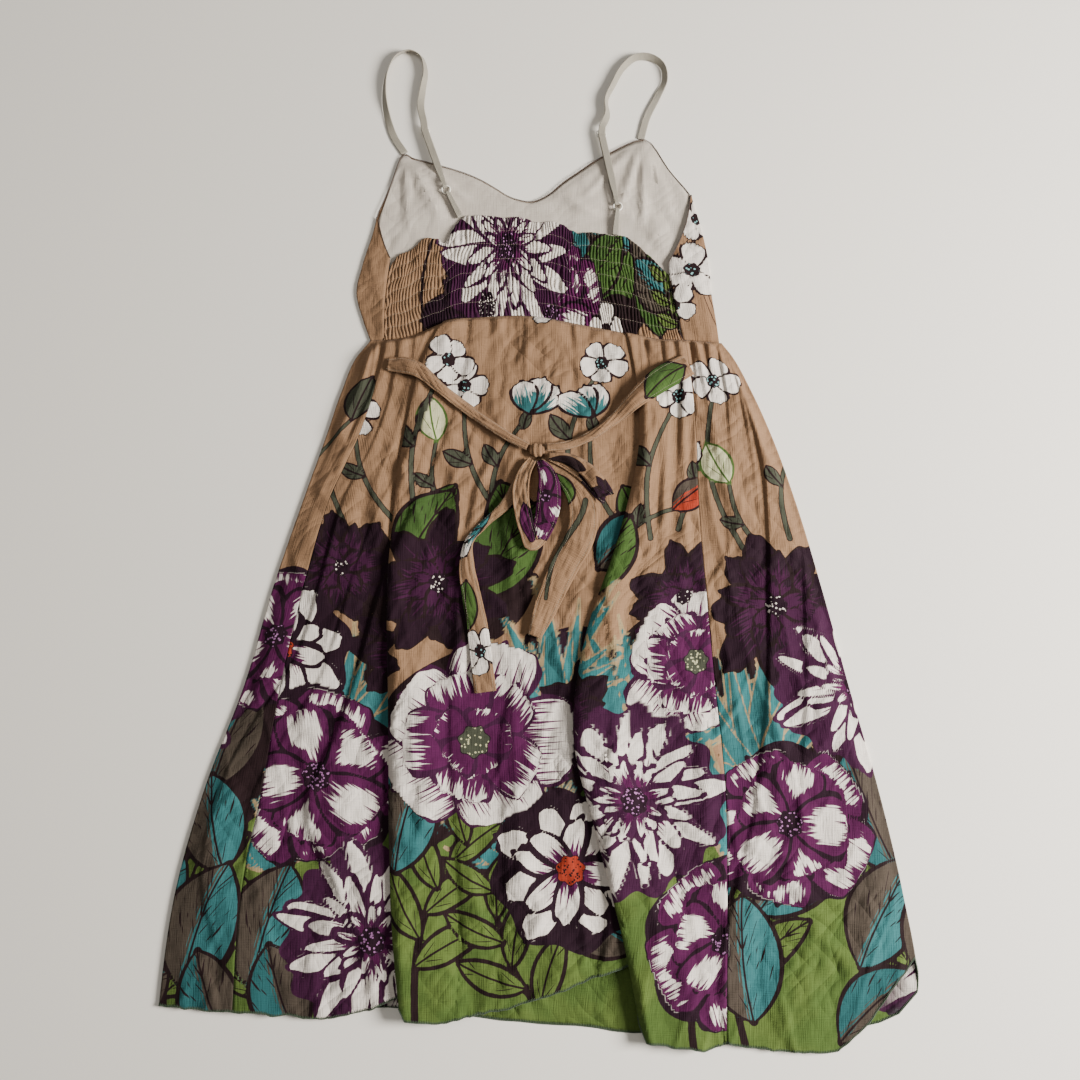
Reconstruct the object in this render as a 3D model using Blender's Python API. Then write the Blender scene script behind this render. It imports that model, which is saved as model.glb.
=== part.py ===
"""Sundress with a shirred back, ribbon straps and a tied sash, laid face down on a flat surface.

Every sewn piece is its own closed solid at its real size. Tables and sizes are in millimetres.
+X is to the right and +Y towards the straps as the back of the dress is looked at, and +Z is up.
The front lies on the surface, the lining on the front, and the back on top of them.
"""

import math
from collections import namedtuple

import bpy
import numpy as np

MM = 0.001

# The walls, and the height of the middle of each layer above the surface
CLOTH = 1.0
SEAM_GAP = 0.3
FRONT_LEVEL = CLOTH / 2
LINING_LEVEL = FRONT_LEVEL + CLOTH + SEAM_GAP
BACK_LEVEL = LINING_LEVEL + CLOTH + SEAM_GAP
ROLL_RADIUS = (BACK_LEVEL - FRONT_LEVEL) / 2
FOLD_FALL = 26.0

# Gathers below the waist seam: fine ones that fade soon, wider ones, and the waves that reach the hem
WAIST_EASE = 14.0
EDGE_EASE = 16.0
Gather = namedtuple("Gather", "count height fade start sway")
GATHERS = (
    Gather(21, 2.6, 75.0, 0.10, 0.35),
    Gather(9, 3.4, 230.0, 0.55, 0.60),
    Gather(4, 3.0, 900.0, 0.15, 0.30),
)

# Outline of the skirt and its two side seams, which have come round onto the top
Side = namedtuple("Side", "y out_left seam_left seam_right out_right")
SKIRT_SIDES = (
    Side(-500, -369, -296, 178, 364),
    Side(-440, -367, -295, 180, 367),
    Side(-350, -358, -292, 183, 356),
    Side(-250, -334, -276, 184, 337),
    Side(-150, -300, -262, 177, 313),
    Side(-50, -275, -243, 170, 290),
    Side(40, -248, -220, 165, 267),
    Side(110, -226, -190, 164, 245),
    Side(160, -211, -175, 161, 225),
    Side(200, -195, -168, 156, 205),
    Side(217, -182, -167, 154, 193),
    Side(250, -180, -167, 153, 191),
)

# The two deep folds of the back: the edge that shows, how far the cloth runs under it, and the layer pitch
Fold = namedtuple("Fold", "y edge under pitch")
LEFT_FOLD = (
    Fold(-500, -129, 46, 2.6),
    Fold(-400, -142, 42, 2.6),
    Fold(-200, -152, 34, 2.6),
    Fold(0, -154, 24, 2.4),
    Fold(120, -141, 14, 2.2),
    Fold(200, -121, 8, 1.7),
    Fold(250, -98, 5, 1.4),
)
RIGHT_FOLD = (
    Fold(-500, 100, 48, 2.8),
    Fold(-400, 81, 46, 2.8),
    Fold(-300, 56, 40, 2.6),
    Fold(-200, 33, 30, 2.6),
    Fold(-100, 46, 18, 2.4),
    Fold(0, 80, 10, 2.2),
    Fold(110, 104, 8, 2.0),
    Fold(200, 97, 6, 1.7),
    Fold(250, 86, 5, 1.4),
)

# Single creases that stand out: a fold beside the left seam, a puff and a pinch under the middle of the waist,
# and three ridges beside the right seam
Ridge = namedtuple("Ridge", "x y toward_x toward_y height width")
SKIRT_RIDGES = (
    Ridge(-114, 212, -160, 92, 4.5, 13), Ridge(-150, 118, -176, -10, 3.0, 13),
    Ridge(4, 246, 24, 186, 4.0, 17), Ridge(32, 178, -6, 112, 3.0, 7), Ridge(60, 205, 92, 120, 2.5, 10),
    Ridge(112, 186, 106, -20, 4.0, 8), Ridge(131, 178, 128, -30, 4.5, 7), Ridge(150, 170, 152, -40, 3.0, 6),
)

# The waist seam, which both halves of the skirt hang from
Point = namedtuple("Point", "x y")
WAIST = (
    Point(-200, 217), Point(-167, 217), Point(-140, 221), Point(-100, 238), Point(-60, 243),
    Point(0, 243), Point(35, 236), Point(80, 227), Point(118, 219), Point(154, 217), Point(200, 213),
)

FRONT_WAIST = (Point(-181, 217), Point(192, 213.7))

# Hems: where along each run of the cloth, and how far down it comes
Hem = namedtuple("Hem", "run at y")
BACK_HEM = (
    Hem("left", 0.0, -461), Hem("left", 0.45, -468), Hem("left", 0.62, -461), Hem("left", 1.0, -428),
    Hem("left_turn", 0.0, -428), Hem("left_turn", 1.0, -460),
    Hem("middle", 0.0, -467), Hem("middle", 0.12, -472), Hem("middle", 0.35, -459),
    Hem("middle", 0.6, -440), Hem("middle", 0.76, -424), Hem("middle", 1.0, -404),
    Hem("right_turn", 0.0, -404), Hem("right_turn", 1.0, -478),
    Hem("right", 0.0, -488), Hem("right", 0.6, -495), Hem("right", 1.0, -491),
)
FRONT_HEM = (
    Hem("right_wrap", 0.0, -491), Hem("right_wrap", 0.35, -498), Hem("right_wrap", 0.58, -498),
    Hem("right_wrap", 0.72, -476), Hem("right_wrap", 0.88, -436), Hem("right_wrap", 1.0, -414),
    Hem("right_roll", 0.0, -414), Hem("right_roll", 1.0, -446),
    Hem("under", 0.0, -446), Hem("under", 0.03, -468), Hem("under", 0.1, -481), Hem("under", 0.37, -481),
    Hem("under", 0.56, -469), Hem("under", 0.68, -458), Hem("under", 0.8, -460), Hem("under", 1.0, -456),
    Hem("left_roll", 0.0, -456), Hem("left_roll", 1.0, -456),
    Hem("left_wrap", 0.0, -456), Hem("left_wrap", 1.0, -461),
)

# Outline of the bodice front with the seams and armholes of what has come round onto the top
BODICE_SIDES = (
    Side(213, -181, -167.5, 154, 193),
    Side(240, -191, -167.5, 149, 190),
    Side(270, -199, -166.5, 142, 186),
    Side(305, -193, -163, 139, 184),
    Side(345, -182, -160, 139, 177),
    Side(386, -176, -158, 139, 167),
    Side(460, -176, -158, 139, 167),
)
LEFT_ARMHOLE = (310, 358)
RIGHT_ARMHOLE = (303, 384)

# Neckline and front armholes, from the right side to the left, with the two points that carry the straps
NECKLINE = (
    Point(167, 384), Point(145, 413), Point(118, 450.5), Point(108, 450), Point(96, 445), Point(76, 434),
    Point(59, 424), Point(44, 413), Point(26, 400), Point(10, 386), Point(-10, 377), Point(-23, 379),
    Point(-36, 384), Point(-48, 392), Point(-66, 403), Point(-81, 410), Point(-98, 416), Point(-118, 422),
    Point(-140, 428), Point(-154, 431), Point(-166, 394), Point(-176, 358),
)
LINING_INSET = 3.2

# Soft ridges of the cup lining that fan out below each strap point
LINING_RIDGES = (
    Ridge(-150, 420, -150, 330, 2.2, 9),
    Ridge(-140, 418, -112, 345, 2.0, 10),
    Ridge(-70, 405, -15, 372, 1.5, 8),
    Ridge(104, 440, 96, 352, 2.0, 9),
    Ridge(114, 440, 128, 345, 2.4, 10),
    Ridge(120, 437, 135, 366, 1.8, 8),
    Ridge(30, 380, 68, 352, 2.0, 11),
)

# Top edge of the shirred back, and the elastic rows that gather it
SHIRRED_TOP = (
    Point(-167, 296), Point(-162, 308), Point(-146, 319), Point(-130, 334), Point(-118, 333),
    Point(-107, 329), Point(-101, 342), Point(-91, 356), Point(-74, 360), Point(-48, 358), Point(-19, 356),
    Point(-8, 351), Point(7, 352), Point(20, 350), Point(37, 340), Point(54, 340), Point(75, 337),
    Point(97, 333), Point(107, 325), Point(124, 308), Point(140, 290),
)
SHIRR_RIBS = 36
SHIRR_RIB_HEIGHT = 1.7
SHIRR_ROWS = 5
SHIRR_PINCH = 0.35
SHIRR_PUFF = 1.6

# Sash, knotted behind: the middle line, the width, how far its middle arches up, and how far it rides above the skirt
Band = namedtuple("Band", "x y width arch rise")
SASH_WALL = 1.2
SASH_CLEAR = 0.3
LEFT_TIE = (
    Band(-161, 186, 13, 1.0, -0.35), Band(-145, 184, 18, 1.6, 0.6), Band(-128, 178, 16, 1.8, 1.0),
    Band(-108, 161, 11, 1.8, 1.0), Band(-81, 141, 11, 2.0, 1.0), Band(-54, 121, 10, 2.0, 1.4),
    Band(-30, 105, 9, 1.8, 2.0), Band(-12.8, 96, 8, 1.0, 3.0),
)
RIGHT_TIE = (
    Band(157, 186, 24, 1.2, -0.4), Band(137, 175, 27, 1.8, 0.4), Band(117, 161, 25, 2.2, 0.8),
    Band(97, 144, 18, 2.4, 1.0), Band(76, 125, 12, 2.4, 1.0), Band(52, 108, 10, 2.2, 1.2),
    Band(29, 98, 9, 2.0, 2.0), Band(6.6, 95, 8, 1.0, 3.0),
)
LOWER_LOOP = (
    Band(0, 82, 8, 0.8, 2.6), Band(8, 64, 19, 1.0, 4.0), Band(9, 40, 25, 1.2, 3.4), Band(4, 14, 22, 0.8, 0.8),
    Band(-4, -2, 17, 0.4, 0.6), Band(-8, -6, 16, 0.0, 2.6), Band(-12, 4, 16, -0.6, 5.0),
    Band(-18, 28, 17, -1.2, 5.4), Band(-20, 52, 16, -1.2, 5.8), Band(-14, 72, 12, -1.0, 5.8),
    Band(-8, 82, 8, -0.8, 5.4),
)
SIDE_LOOP = (
    Band(8, 85.5, 7, 0.8, 2.2), Band(26, 79, 12, 1.0, 2.7), Band(46, 66, 16, 1.0, 2.9), Band(60, 51, 17, 0.6, 2.6),
    Band(68, 43, 17, 0.2, 4.2), Band(61, 55, 17, -0.8, 6.0), Band(46, 72, 15, -1.2, 6.6),
    Band(27, 83, 11, -1.2, 6.6), Band(8, 85.5, 7, -0.8, 5.4),
)
LEFT_TAIL = (
    Band(-10, 83, 8, 0.6, 0.4), Band(-21, 60, 13, 0.8, 0.0), Band(-35, 36, 11, 0.8, 0.0),
    Band(-58, 14, 8, 1.2, 0.4), Band(-73, -4, 9, 1.2, 0.4), Band(-75, -28, 15, 1.2, 0.0),
    Band(-70, -59, 19, 1.4, 0.0), Band(-64, -89, 21, 1.6, 0.0), Band(-60, -120, 22, 1.6, 0.0),
    Band(-55, -157, 22, 1.2, 0.0),
)
RIGHT_TAIL = (
    Band(3, 81, 9, 0.6, 0.2), Band(24, 66, 19, 1.0, 0.0), Band(41, 44, 27, 1.2, 0.0),
    Band(45, 20, 30, 1.6, 0.0), Band(40, -2, 30, 1.6, 0.0), Band(28, -24, 29, 1.4, 0.0),
    Band(16, -48, 27, 1.4, 0.0), Band(4, -76, 23, 1.0, 0.0), Band(-6, -101, 14, 0.8, 0.0),
)
KNOT = Point(-3, 92.5)
KNOT_LENGTH, KNOT_WIDTH, KNOT_HEIGHT = 18.0, 15.0, 9.0

# Ribbon straps, rings and adjusters
RIBBON_WIDTH = 8.0
RIBBON_WALL = 0.9
Lay = namedtuple("Lay", "x y z width roll")
LEFT_STRAP = (
    Lay(-149.8, 434.6, 1.3, 8, 0), Lay(-162, 454, 1.6, 8, 8), Lay(-170, 478, 3.0, 8, 30),
    Lay(-174, 507, 4.2, 8, 55), Lay(-171, 534, 4.4, 8, 68), Lay(-162, 552, 4.6, 8, 72),
    Lay(-147, 558.5, 4.6, 8, 70), Lay(-134, 552, 4.6, 8, 68), Lay(-128.5, 535, 4.4, 8, 60),
    Lay(-131, 512, 4.0, 8, 45), Lay(-133, 490, 4.6, 8, 12), Lay(-129, 470, 6.6, 7.6, 0),
)
RIGHT_STRAP = (
    Lay(111.9, 452.1, 1.3, 8, 0), Lay(119, 478, 1.6, 8, 0), Lay(131, 503, 2.2, 8, 12),
    Lay(140, 524, 3.4, 8, 40), Lay(137, 541, 4.0, 8, 55), Lay(124, 550.5, 4.2, 8, 50),
    Lay(108, 550.5, 4.2, 8, 48), Lay(95, 540, 4.2, 8, 50), Lay(82, 517, 4.2, 8, 55),
    Lay(74, 498, 4.4, 8, 62), Lay(75, 480, 5.0, 8, 45), Lay(69, 464, 7.2, 7.6, 0),
)
Hardware = namedtuple("Hardware", "slider_x slider_y slider_z ring_x ring_y ring_z seam_x seam_y")
LEFT_HARDWARE = Hardware(-128, 461, 5.2, -103, 389, 6.8, -87, 357.6)
RIGHT_HARDWARE = Hardware(68, 456, 5.8, 85, 369, 6.8, 82, 337.0)
RING_RADIUS, RING_WIRE = 4.6, 0.8
SLIDER_LENGTH, SLIDER_WIDTH, SLIDER_BAR = 9.0, 11.0, 1.2
RIBBON_AT_RING = 4.4
RING_SLACK = 0.75

# Colours of the cloth and trims, with roughness and metallic values
Finish = namedtuple("Finish", "color roughness metallic")
FINISHES = {
    "printed_cotton": Finish((0.42, 0.27, 0.17), 0.85, 0.0),
    "lining_cotton": Finish((0.78, 0.74, 0.68), 0.85, 0.0),
    "strap_elastic": Finish((0.58, 0.55, 0.47), 0.55, 0.0),
    "coated_metal": Finish((0.80, 0.77, 0.69), 0.3, 0.6),
}


def smooth(rows, value, along="y"):
    """One column of a table as a smooth curve of another, level past its ends."""
    ordered = sorted(rows, key=lambda row: getattr(row, along))
    knots = np.array([getattr(row, along) for row in ordered], float)
    heights = np.array([getattr(row, value) for row in ordered], float)
    slopes = np.gradient(heights, knots)

    def read(where):
        where = np.clip(np.asarray(where, float), knots[0], knots[-1])
        i = np.clip(np.searchsorted(knots, where) - 1, 0, len(knots) - 2)
        step = knots[i + 1] - knots[i]
        t = (where - knots[i]) / step
        rise = heights[i] * (1 + 2 * t) * (1 - t) ** 2 + heights[i + 1] * t * t * (3 - 2 * t)
        return rise + step * t * (1 - t) * (slopes[i] * (1 - t) - slopes[i + 1] * t)

    return read


def ease(t):
    """0 below 0, 1 above 1, and a smooth step between."""
    t = np.clip(t, 0, 1)
    return t * t * (3 - 2 * t)


def hem_reader(rows, run):
    """How far down one run of cloth comes, straight between its rows."""
    own = [row for row in rows if row.run == run]
    return lambda t: np.interp(t, [row.at for row in own], [row.y for row in own])


class Sides:
    """The outline and the seams at any height on the dress."""

    def __init__(self, rows):
        self.out_left = smooth(rows, "out_left")
        self.seam_left = smooth(rows, "seam_left")
        self.seam_right = smooth(rows, "seam_right")
        self.out_right = smooth(rows, "out_right")


class DeepFold:
    """A flat fold: the cloth runs under its edge, turns back, turns again, and goes on over the top."""

    def __init__(self, rows):
        self.edge = smooth(rows, "edge")
        self.under = smooth(rows, "under")
        self.pitch = smooth(rows, "pitch")

    def outer_turn(self, y):
        """Middle of the turn whose outside is the edge that shows."""
        return self.edge(y) + (self.pitch(y) + CLOTH) / 2

    def inner_turn(self, y):
        return self.outer_turn(y) + self.under(y)

    def lift(self, x, y):
        """Height of the top layer over the two that lie beneath it, falling away past the hidden turn."""
        return 2 * self.pitch(y) * (1 - ease((x - self.inner_turn(y)) / FOLD_FALL))


SKIRT = Sides(SKIRT_SIDES)
BODICE = Sides(BODICE_SIDES)
LEFT_DEEP = DeepFold(LEFT_FOLD)
RIGHT_DEEP = DeepFold(RIGHT_FOLD)
waist_y = smooth(WAIST, "y", "x")
neckline_y = smooth(NECKLINE, "y", "x")
shirred_top_y = smooth(SHIRRED_TOP, "y", "x")


def ridge_height(ridges, x, y):
    """Height of the soft ridges at a place, each one full along its line and gone past its width."""
    height = 0
    for ridge in ridges:
        along = np.array([ridge.toward_x - ridge.x, ridge.toward_y - ridge.y], float)
        length = np.linalg.norm(along)
        along = along / length
        distance = (x - ridge.x) * along[0] + (y - ridge.y) * along[1]
        aside = (x - ridge.x) * along[1] - (y - ridge.y) * along[0]
        ends = ease(distance / (0.3 * length)) * ease((length - distance) / (0.3 * length))
        height = height + ridge.height * ends * ease(1 - np.abs(aside) / ridge.width)
    return height


def gathers(x, y):
    """Height that the gathers add to the top of the skirt, nothing at the waist seam and at the rolled sides."""
    left, right = SKIRT.seam_left(y), SKIRT.seam_right(y)
    across = (x - left) / (right - left)
    drop = np.maximum(waist_y(x) - y, 0)
    height = 0
    for gather in GATHERS:
        turn = gather.count * across + gather.start
        turn = turn + gather.sway * np.sin(5.3 * across + 2.1 * gather.start + drop / 240)
        wave = 0.5 - 0.5 * np.cos(2 * math.pi * turn)
        height = height + gather.height * wave * np.exp(-drop / gather.fade)
    height = height + ridge_height(SKIRT_RIDGES, x, y)
    edge = np.minimum(x - SKIRT.out_left(y), SKIRT.out_right(y) - x)
    return height * ease(drop / WAIST_EASE) * ease((edge - 2 * ROLL_RADIUS) / EDGE_EASE)


def half_turn(x, z, radius, t, start, direction):
    """Points round half a circle in the plane across the dress, from the angle start in degrees."""
    angle = np.radians(start + direction * 180 * t)
    return x + radius * np.cos(angle), z + radius * np.sin(angle)


def waist_under(across, line=waist_y):
    """Height of the waist seam on one column of cloth, whose place across shifts a little with its height."""
    y = line(0.0)
    for _ in range(6):
        y = line(across(y))
    return y


def front_waist(across, run):
    """The front's waist seam: the back's line where it shows on top, and a straight one beneath the dress."""
    if run != "under":
        return waist_under(across)
    left, right = FRONT_WAIST
    return waist_under(across, lambda x: np.interp(x, (left.x, right.x), (left.y, right.y)))


def skirt_back_point(run, t, v, hems):
    """Middle of the back's cloth on one of its runs, from the left seam to the right one."""
    top = waist_under(lambda y: skirt_back_across(run, t, y)[0]) - SEAM_GAP / 2
    y = top + (hems[run](t) - top) * v
    x, z = skirt_back_across(run, t, y)
    return x, y, z + gathers(x, y)


def skirt_back_across(run, t, y):
    """Where across, and how high, one run of the back lies at height y on the dress."""
    fold = LEFT_DEEP if run.startswith("left") else RIGHT_DEEP
    pitch = fold.pitch(y)
    inner, outer = fold.inner_turn(y), fold.outer_turn(y)
    if run == "left":
        start = SKIRT.seam_left(y) + SEAM_GAP / 2
        return start + (inner - start) * t, BACK_LEVEL + 0 * y
    if run == "middle":
        start, end = LEFT_DEEP.outer_turn(y), RIGHT_DEEP.inner_turn(y)
        x = start + (end - start) * t
        return x, BACK_LEVEL + LEFT_DEEP.lift(x, y)
    if run == "right":
        end = SKIRT.seam_right(y) - SEAM_GAP / 2
        x = outer + (end - outer) * t
        return x, BACK_LEVEL + RIGHT_DEEP.lift(x, y)
    first, back, _ = TURN_SHARES
    if t < first:
        return half_turn(inner, BACK_LEVEL + pitch / 2, pitch / 2, t / first, -90, 1)
    if t < first + back:
        return inner + (outer - inner) * (t - first) / back, BACK_LEVEL + pitch
    last = (t - first - back) / (1 - first - back)
    return half_turn(outer, BACK_LEVEL + 1.5 * pitch, pitch / 2, last, -90, -1)


TURN_SHARES = (0.25, 0.5, 0.25)


def skirt_front_point(run, t, v, hems):
    """Middle of the front's cloth, from the right seam on top, round under the dress, to the left seam on top."""
    top = front_waist(lambda y: front_across(SKIRT, run, t, y)[0], run) - SEAM_GAP / 2
    y = top + (hems[run](t) - top) * v
    x, z = front_across(SKIRT, run, t, y)
    if run.endswith("wrap"):
        z = z + gathers(x, y)
    return x, y, z


def front_across(sides, run, t, y):
    """Where across, and how high, one run of a front lies: two wraps on top, two rolled sides and the underside."""
    middle = FRONT_LEVEL + ROLL_RADIUS
    right = sides.out_right(y) - CLOTH / 2 - ROLL_RADIUS
    left = sides.out_left(y) + CLOTH / 2 + ROLL_RADIUS
    if run == "right_wrap":
        start = sides.seam_right(y) + SEAM_GAP / 2
        return start + (right - start) * t, BACK_LEVEL + 0 * y
    if run == "right_roll":
        return half_turn(right, middle, ROLL_RADIUS, t, 90, -1)
    if run == "under":
        return right + (left - right) * t, FRONT_LEVEL + 0 * y
    if run == "left_roll":
        return half_turn(left, middle, ROLL_RADIUS, t, -90, -1)
    end = sides.seam_left(y) - SEAM_GAP / 2
    return left + (end - left) * t, BACK_LEVEL + 0 * y


def bodice_front_point(run, t, v):
    """Middle of the bodice front's cloth, which ends at the neckline and the armholes."""
    low = front_waist(lambda y: front_across(BODICE, run, t, y)[0], run) + SEAM_GAP / 2
    if run == "under":
        high = neckline_y(front_across(BODICE, run, t, 460.0)[0])
    elif run.startswith("right"):
        high = np.interp(t, (0, 1), RIGHT_ARMHOLE) if run == "right_wrap" else RIGHT_ARMHOLE[1]
    else:
        high = np.interp(t, (0, 1), LEFT_ARMHOLE[::-1]) if run == "left_wrap" else LEFT_ARMHOLE[1]
    y = low + (high - low) * v
    x, z = front_across(BODICE, run, t, y)
    return x, y, z


def lining_point(x_share, v):
    """Middle of the cup lining, a little inside the front's edge, with its ridges above the shirred back only."""
    low = waist_under(lambda y: lining_across(x_share, y)) + SEAM_GAP / 2
    at_top = neck_x(x_share)
    high = neckline_y(at_top) - LINING_INSET * 0.55
    y = low + (high - low) * v
    x = lining_across(x_share, y)
    clear = ease((y - shirred_top_y(x) - 14) / 16) * ease((neckline_y(x) - y) / 14)
    return x, y, LINING_LEVEL + clear * ridge_height(LINING_RIDGES, x, y)


def lining_across(share, y):
    right = BODICE.out_right(y) - LINING_INSET
    left = BODICE.out_left(y) + LINING_INSET
    return right + (left - right) * share


def neck_x(share):
    """Place across the neckline, from the right side to the left."""
    return NECKLINE[0].x + (NECKLINE[-1].x - NECKLINE[0].x) * share


def shirred_point(u, v):
    """Middle of the shirred back before its ribs, from the left seam to the right one."""
    low = waist_under(lambda y: shirred_across(u, y)) + SEAM_GAP / 2
    high_x = SHIRRED_TOP[0].x + (SHIRRED_TOP[-1].x - SHIRRED_TOP[0].x) * u
    high = shirred_top_y(high_x)
    y = low + (high - low) * v
    puff = SHIRR_PUFF * ease(v / 0.2) * ease((1 - v) / 0.12) * math.sin(math.pi * u) ** 0.5
    return shirred_across(u, y), y, BACK_LEVEL + puff


def shirred_across(u, y):
    start = BODICE.seam_left(y) + SEAM_GAP / 2
    end = BODICE.seam_right(y) - SEAM_GAP / 2
    return start + (end - start) * u


def shirring(u, v):
    """Height of the ribs, pinched where an elastic row crosses them."""
    rib = 0.5 - 0.5 * math.cos(2 * math.pi * SHIRR_RIBS * u)
    pinch = SHIRR_PINCH + (1 - SHIRR_PINCH) * np.abs(np.sin(math.pi * SHIRR_ROWS * v))
    return SHIRR_RIB_HEIGHT * rib * pinch


def wall_mesh(name, middle, outer_extra=None):
    """A closed wall of cloth on a grid of middle points, columns across and rows along, with optional relief outside."""
    middle = np.array(middle, float)
    across = np.gradient(middle, axis=0)
    normal = np.stack([-across[..., 2], 0 * across[..., 0], across[..., 0]], axis=-1)
    normal /= np.linalg.norm(normal, axis=-1, keepdims=True)
    extra = np.zeros(middle.shape[:2]) if outer_extra is None else np.array(outer_extra, float)
    outer = middle + normal * (CLOTH / 2 + extra[..., None])
    inner = middle - normal * CLOTH / 2
    return closed_grid(name, outer, inner)


def closed_grid(name, outer, inner):
    """Two matching grids of points joined round their rim into one closed mesh."""
    columns, rows = outer.shape[:2]
    count = columns * rows

    def at(layer, i, j):
        return layer * count + i * rows + j

    faces = []
    for i in range(columns - 1):
        for j in range(rows - 1):
            faces.append((at(0, i, j), at(0, i + 1, j), at(0, i + 1, j + 1), at(0, i, j + 1)))
            faces.append((at(1, i, j), at(1, i, j + 1), at(1, i + 1, j + 1), at(1, i + 1, j)))
    rim = [(i, 0) for i in range(columns)] + [(columns - 1, j) for j in range(1, rows)]
    rim += [(i, rows - 1) for i in range(columns - 2, -1, -1)] + [(0, j) for j in range(rows - 2, 0, -1)]
    for here, there in zip(rim, rim[1:] + rim[:1]):
        faces.append((at(0, *there), at(0, *here), at(1, *here), at(1, *there)))
    points = np.concatenate([outer.reshape(-1, 3), inner.reshape(-1, 3)]) * MM
    mesh = bpy.data.meshes.new(name)
    mesh.from_pydata(points.tolist(), [], faces)
    volume = signed_volume(mesh)
    if volume < 0:
        mesh.flip_normals()
    mesh.update()
    return mesh


def signed_volume(mesh):
    """Six times the volume inside a closed mesh, below zero when its faces point inwards."""
    mesh.calc_loop_triangles()
    corners = [[mesh.vertices[v].co for v in triangle.vertices] for triangle in mesh.loop_triangles]
    return sum(a.dot(b.cross(c)) for a, b, c in corners)


def add_piece(mesh, finish):
    """Links one sewn piece to the scene with its own material."""
    piece = bpy.data.objects.new(mesh.name, mesh)
    bpy.context.scene.collection.objects.link(piece)
    material = bpy.data.materials.new(mesh.name)
    material.use_nodes = True
    shader = material.node_tree.nodes["Principled BSDF"]
    look = FINISHES[finish]
    shader.inputs["Base Color"].default_value = (*look.color, 1)
    shader.inputs["Roughness"].default_value = look.roughness
    shader.inputs["Metallic"].default_value = look.metallic
    mesh.materials.append(material)
    mesh.shade_smooth()
    mesh.set_sharp_from_angle(angle=math.radians(50))
    return piece


def run_columns(runs):
    """(run, t) of each column of a panel that is made of several runs, sharing the column where two meet."""
    columns = []
    for number, (run, count) in enumerate(runs):
        first = 0 if number == 0 else 1
        columns += [(run, k / count) for k in range(first, count + 1)]
    return columns


# Columns of each run, and rows down a panel, closer where the cloth bends more
BACK_RUNS = (("left", 19), ("left_turn", 8), ("middle", 46), ("right_turn", 8), ("right", 16))
FRONT_RUNS = (("right_wrap", 10), ("right_roll", 4), ("under", 22), ("left_roll", 4), ("left_wrap", 4))
SKIRT_ROWS = (0, 0.025, 0.06, 0.11, 0.17, 0.25, 0.34, 0.45, 0.57, 0.7, 0.84, 1)
FRONT_ROWS = SKIRT_ROWS
BODICE_ROWS = (0, 0.17, 0.34, 0.5, 0.66, 0.83, 1)
SHIRRED_ROWS = tuple(k / 10 for k in range(11))


def grid(point, columns, rows):
    """Points of a panel: point gives a whole column at once from what names the column and its rows."""
    rows = np.array(rows, float)
    return np.array([np.stack(np.broadcast_arrays(*point(*column, rows)), axis=-1) for column in columns])


def skirt_back_grid(runs, rows):
    hems = {run: hem_reader(BACK_HEM, run) for run, _ in runs}
    return grid(lambda run, t, v: skirt_back_point(run, t, v, hems), run_columns(runs), rows)


def skirt_front_grid(runs, rows):
    hems = {run: hem_reader(FRONT_HEM, run) for run, _ in runs}
    return grid(lambda run, t, v: skirt_front_point(run, t, v, hems), run_columns(runs), rows)


def bodice_front_grid(rows):
    """The underside's columns stand at the neckline's own points, so that its corners stay sharp."""
    neck = [(NECKLINE[0].x - point.x) / (NECKLINE[0].x - NECKLINE[-1].x) for point in NECKLINE]
    columns = [("right_wrap", k / 4) for k in range(5)] + [("right_roll", k / 4) for k in range(1, 5)]
    columns += [("under", share) for share in neck[1:]]
    columns += [("left_roll", k / 4) for k in range(1, 5)] + [("left_wrap", k / 3) for k in range(1, 4)]
    return grid(bodice_front_point, columns, rows)


def lining_grid():
    """Columns at the neckline's points and halfway between them."""
    shares = [(NECKLINE[0].x - point.x) / (NECKLINE[0].x - NECKLINE[-1].x) for point in NECKLINE]
    halves = [(a + b) / 2 for a, b in zip(shares, shares[1:])]
    rows = (0, 0.35, 0.55, 0.7, 0.8, 0.9, 1)
    return grid(lining_point, [(share,) for share in sorted(shares + halves)], rows)


class Cover:
    """The top of the skirt as a cloud of close points, to lay the sash on."""

    def __init__(self):
        runs = (("left", 60), ("middle", 150), ("right", 60))
        rows = [k / 240 for k in range(241)]
        self.points = skirt_back_grid(runs, rows).reshape(-1, 3)

    def height(self, x, y, reach):
        near = np.hypot(self.points[:, 0] - x, self.points[:, 1] - y) < reach
        return self.points[near, 2].max(initial=BACK_LEVEL) + CLOTH / 2


def resampled(rows, step):
    """A table of places along a path, read smoothly every step millimetres."""
    line = np.array([(row.x, row.y) for row in rows], float)
    spans = np.hypot(*np.diff(line, axis=0).T)
    marks = np.concatenate([[0], np.cumsum(np.maximum(spans, 1.0))])
    Mark = namedtuple("Mark", ("at",) + rows[0]._fields)
    table = [Mark(at, *row) for at, row in zip(marks, rows)]
    count = max(2, round(marks[-1] / step))
    where = np.linspace(0, marks[-1], count + 1)
    return {field: smooth(table, field, "at")(where) for field in rows[0]._fields}


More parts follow.
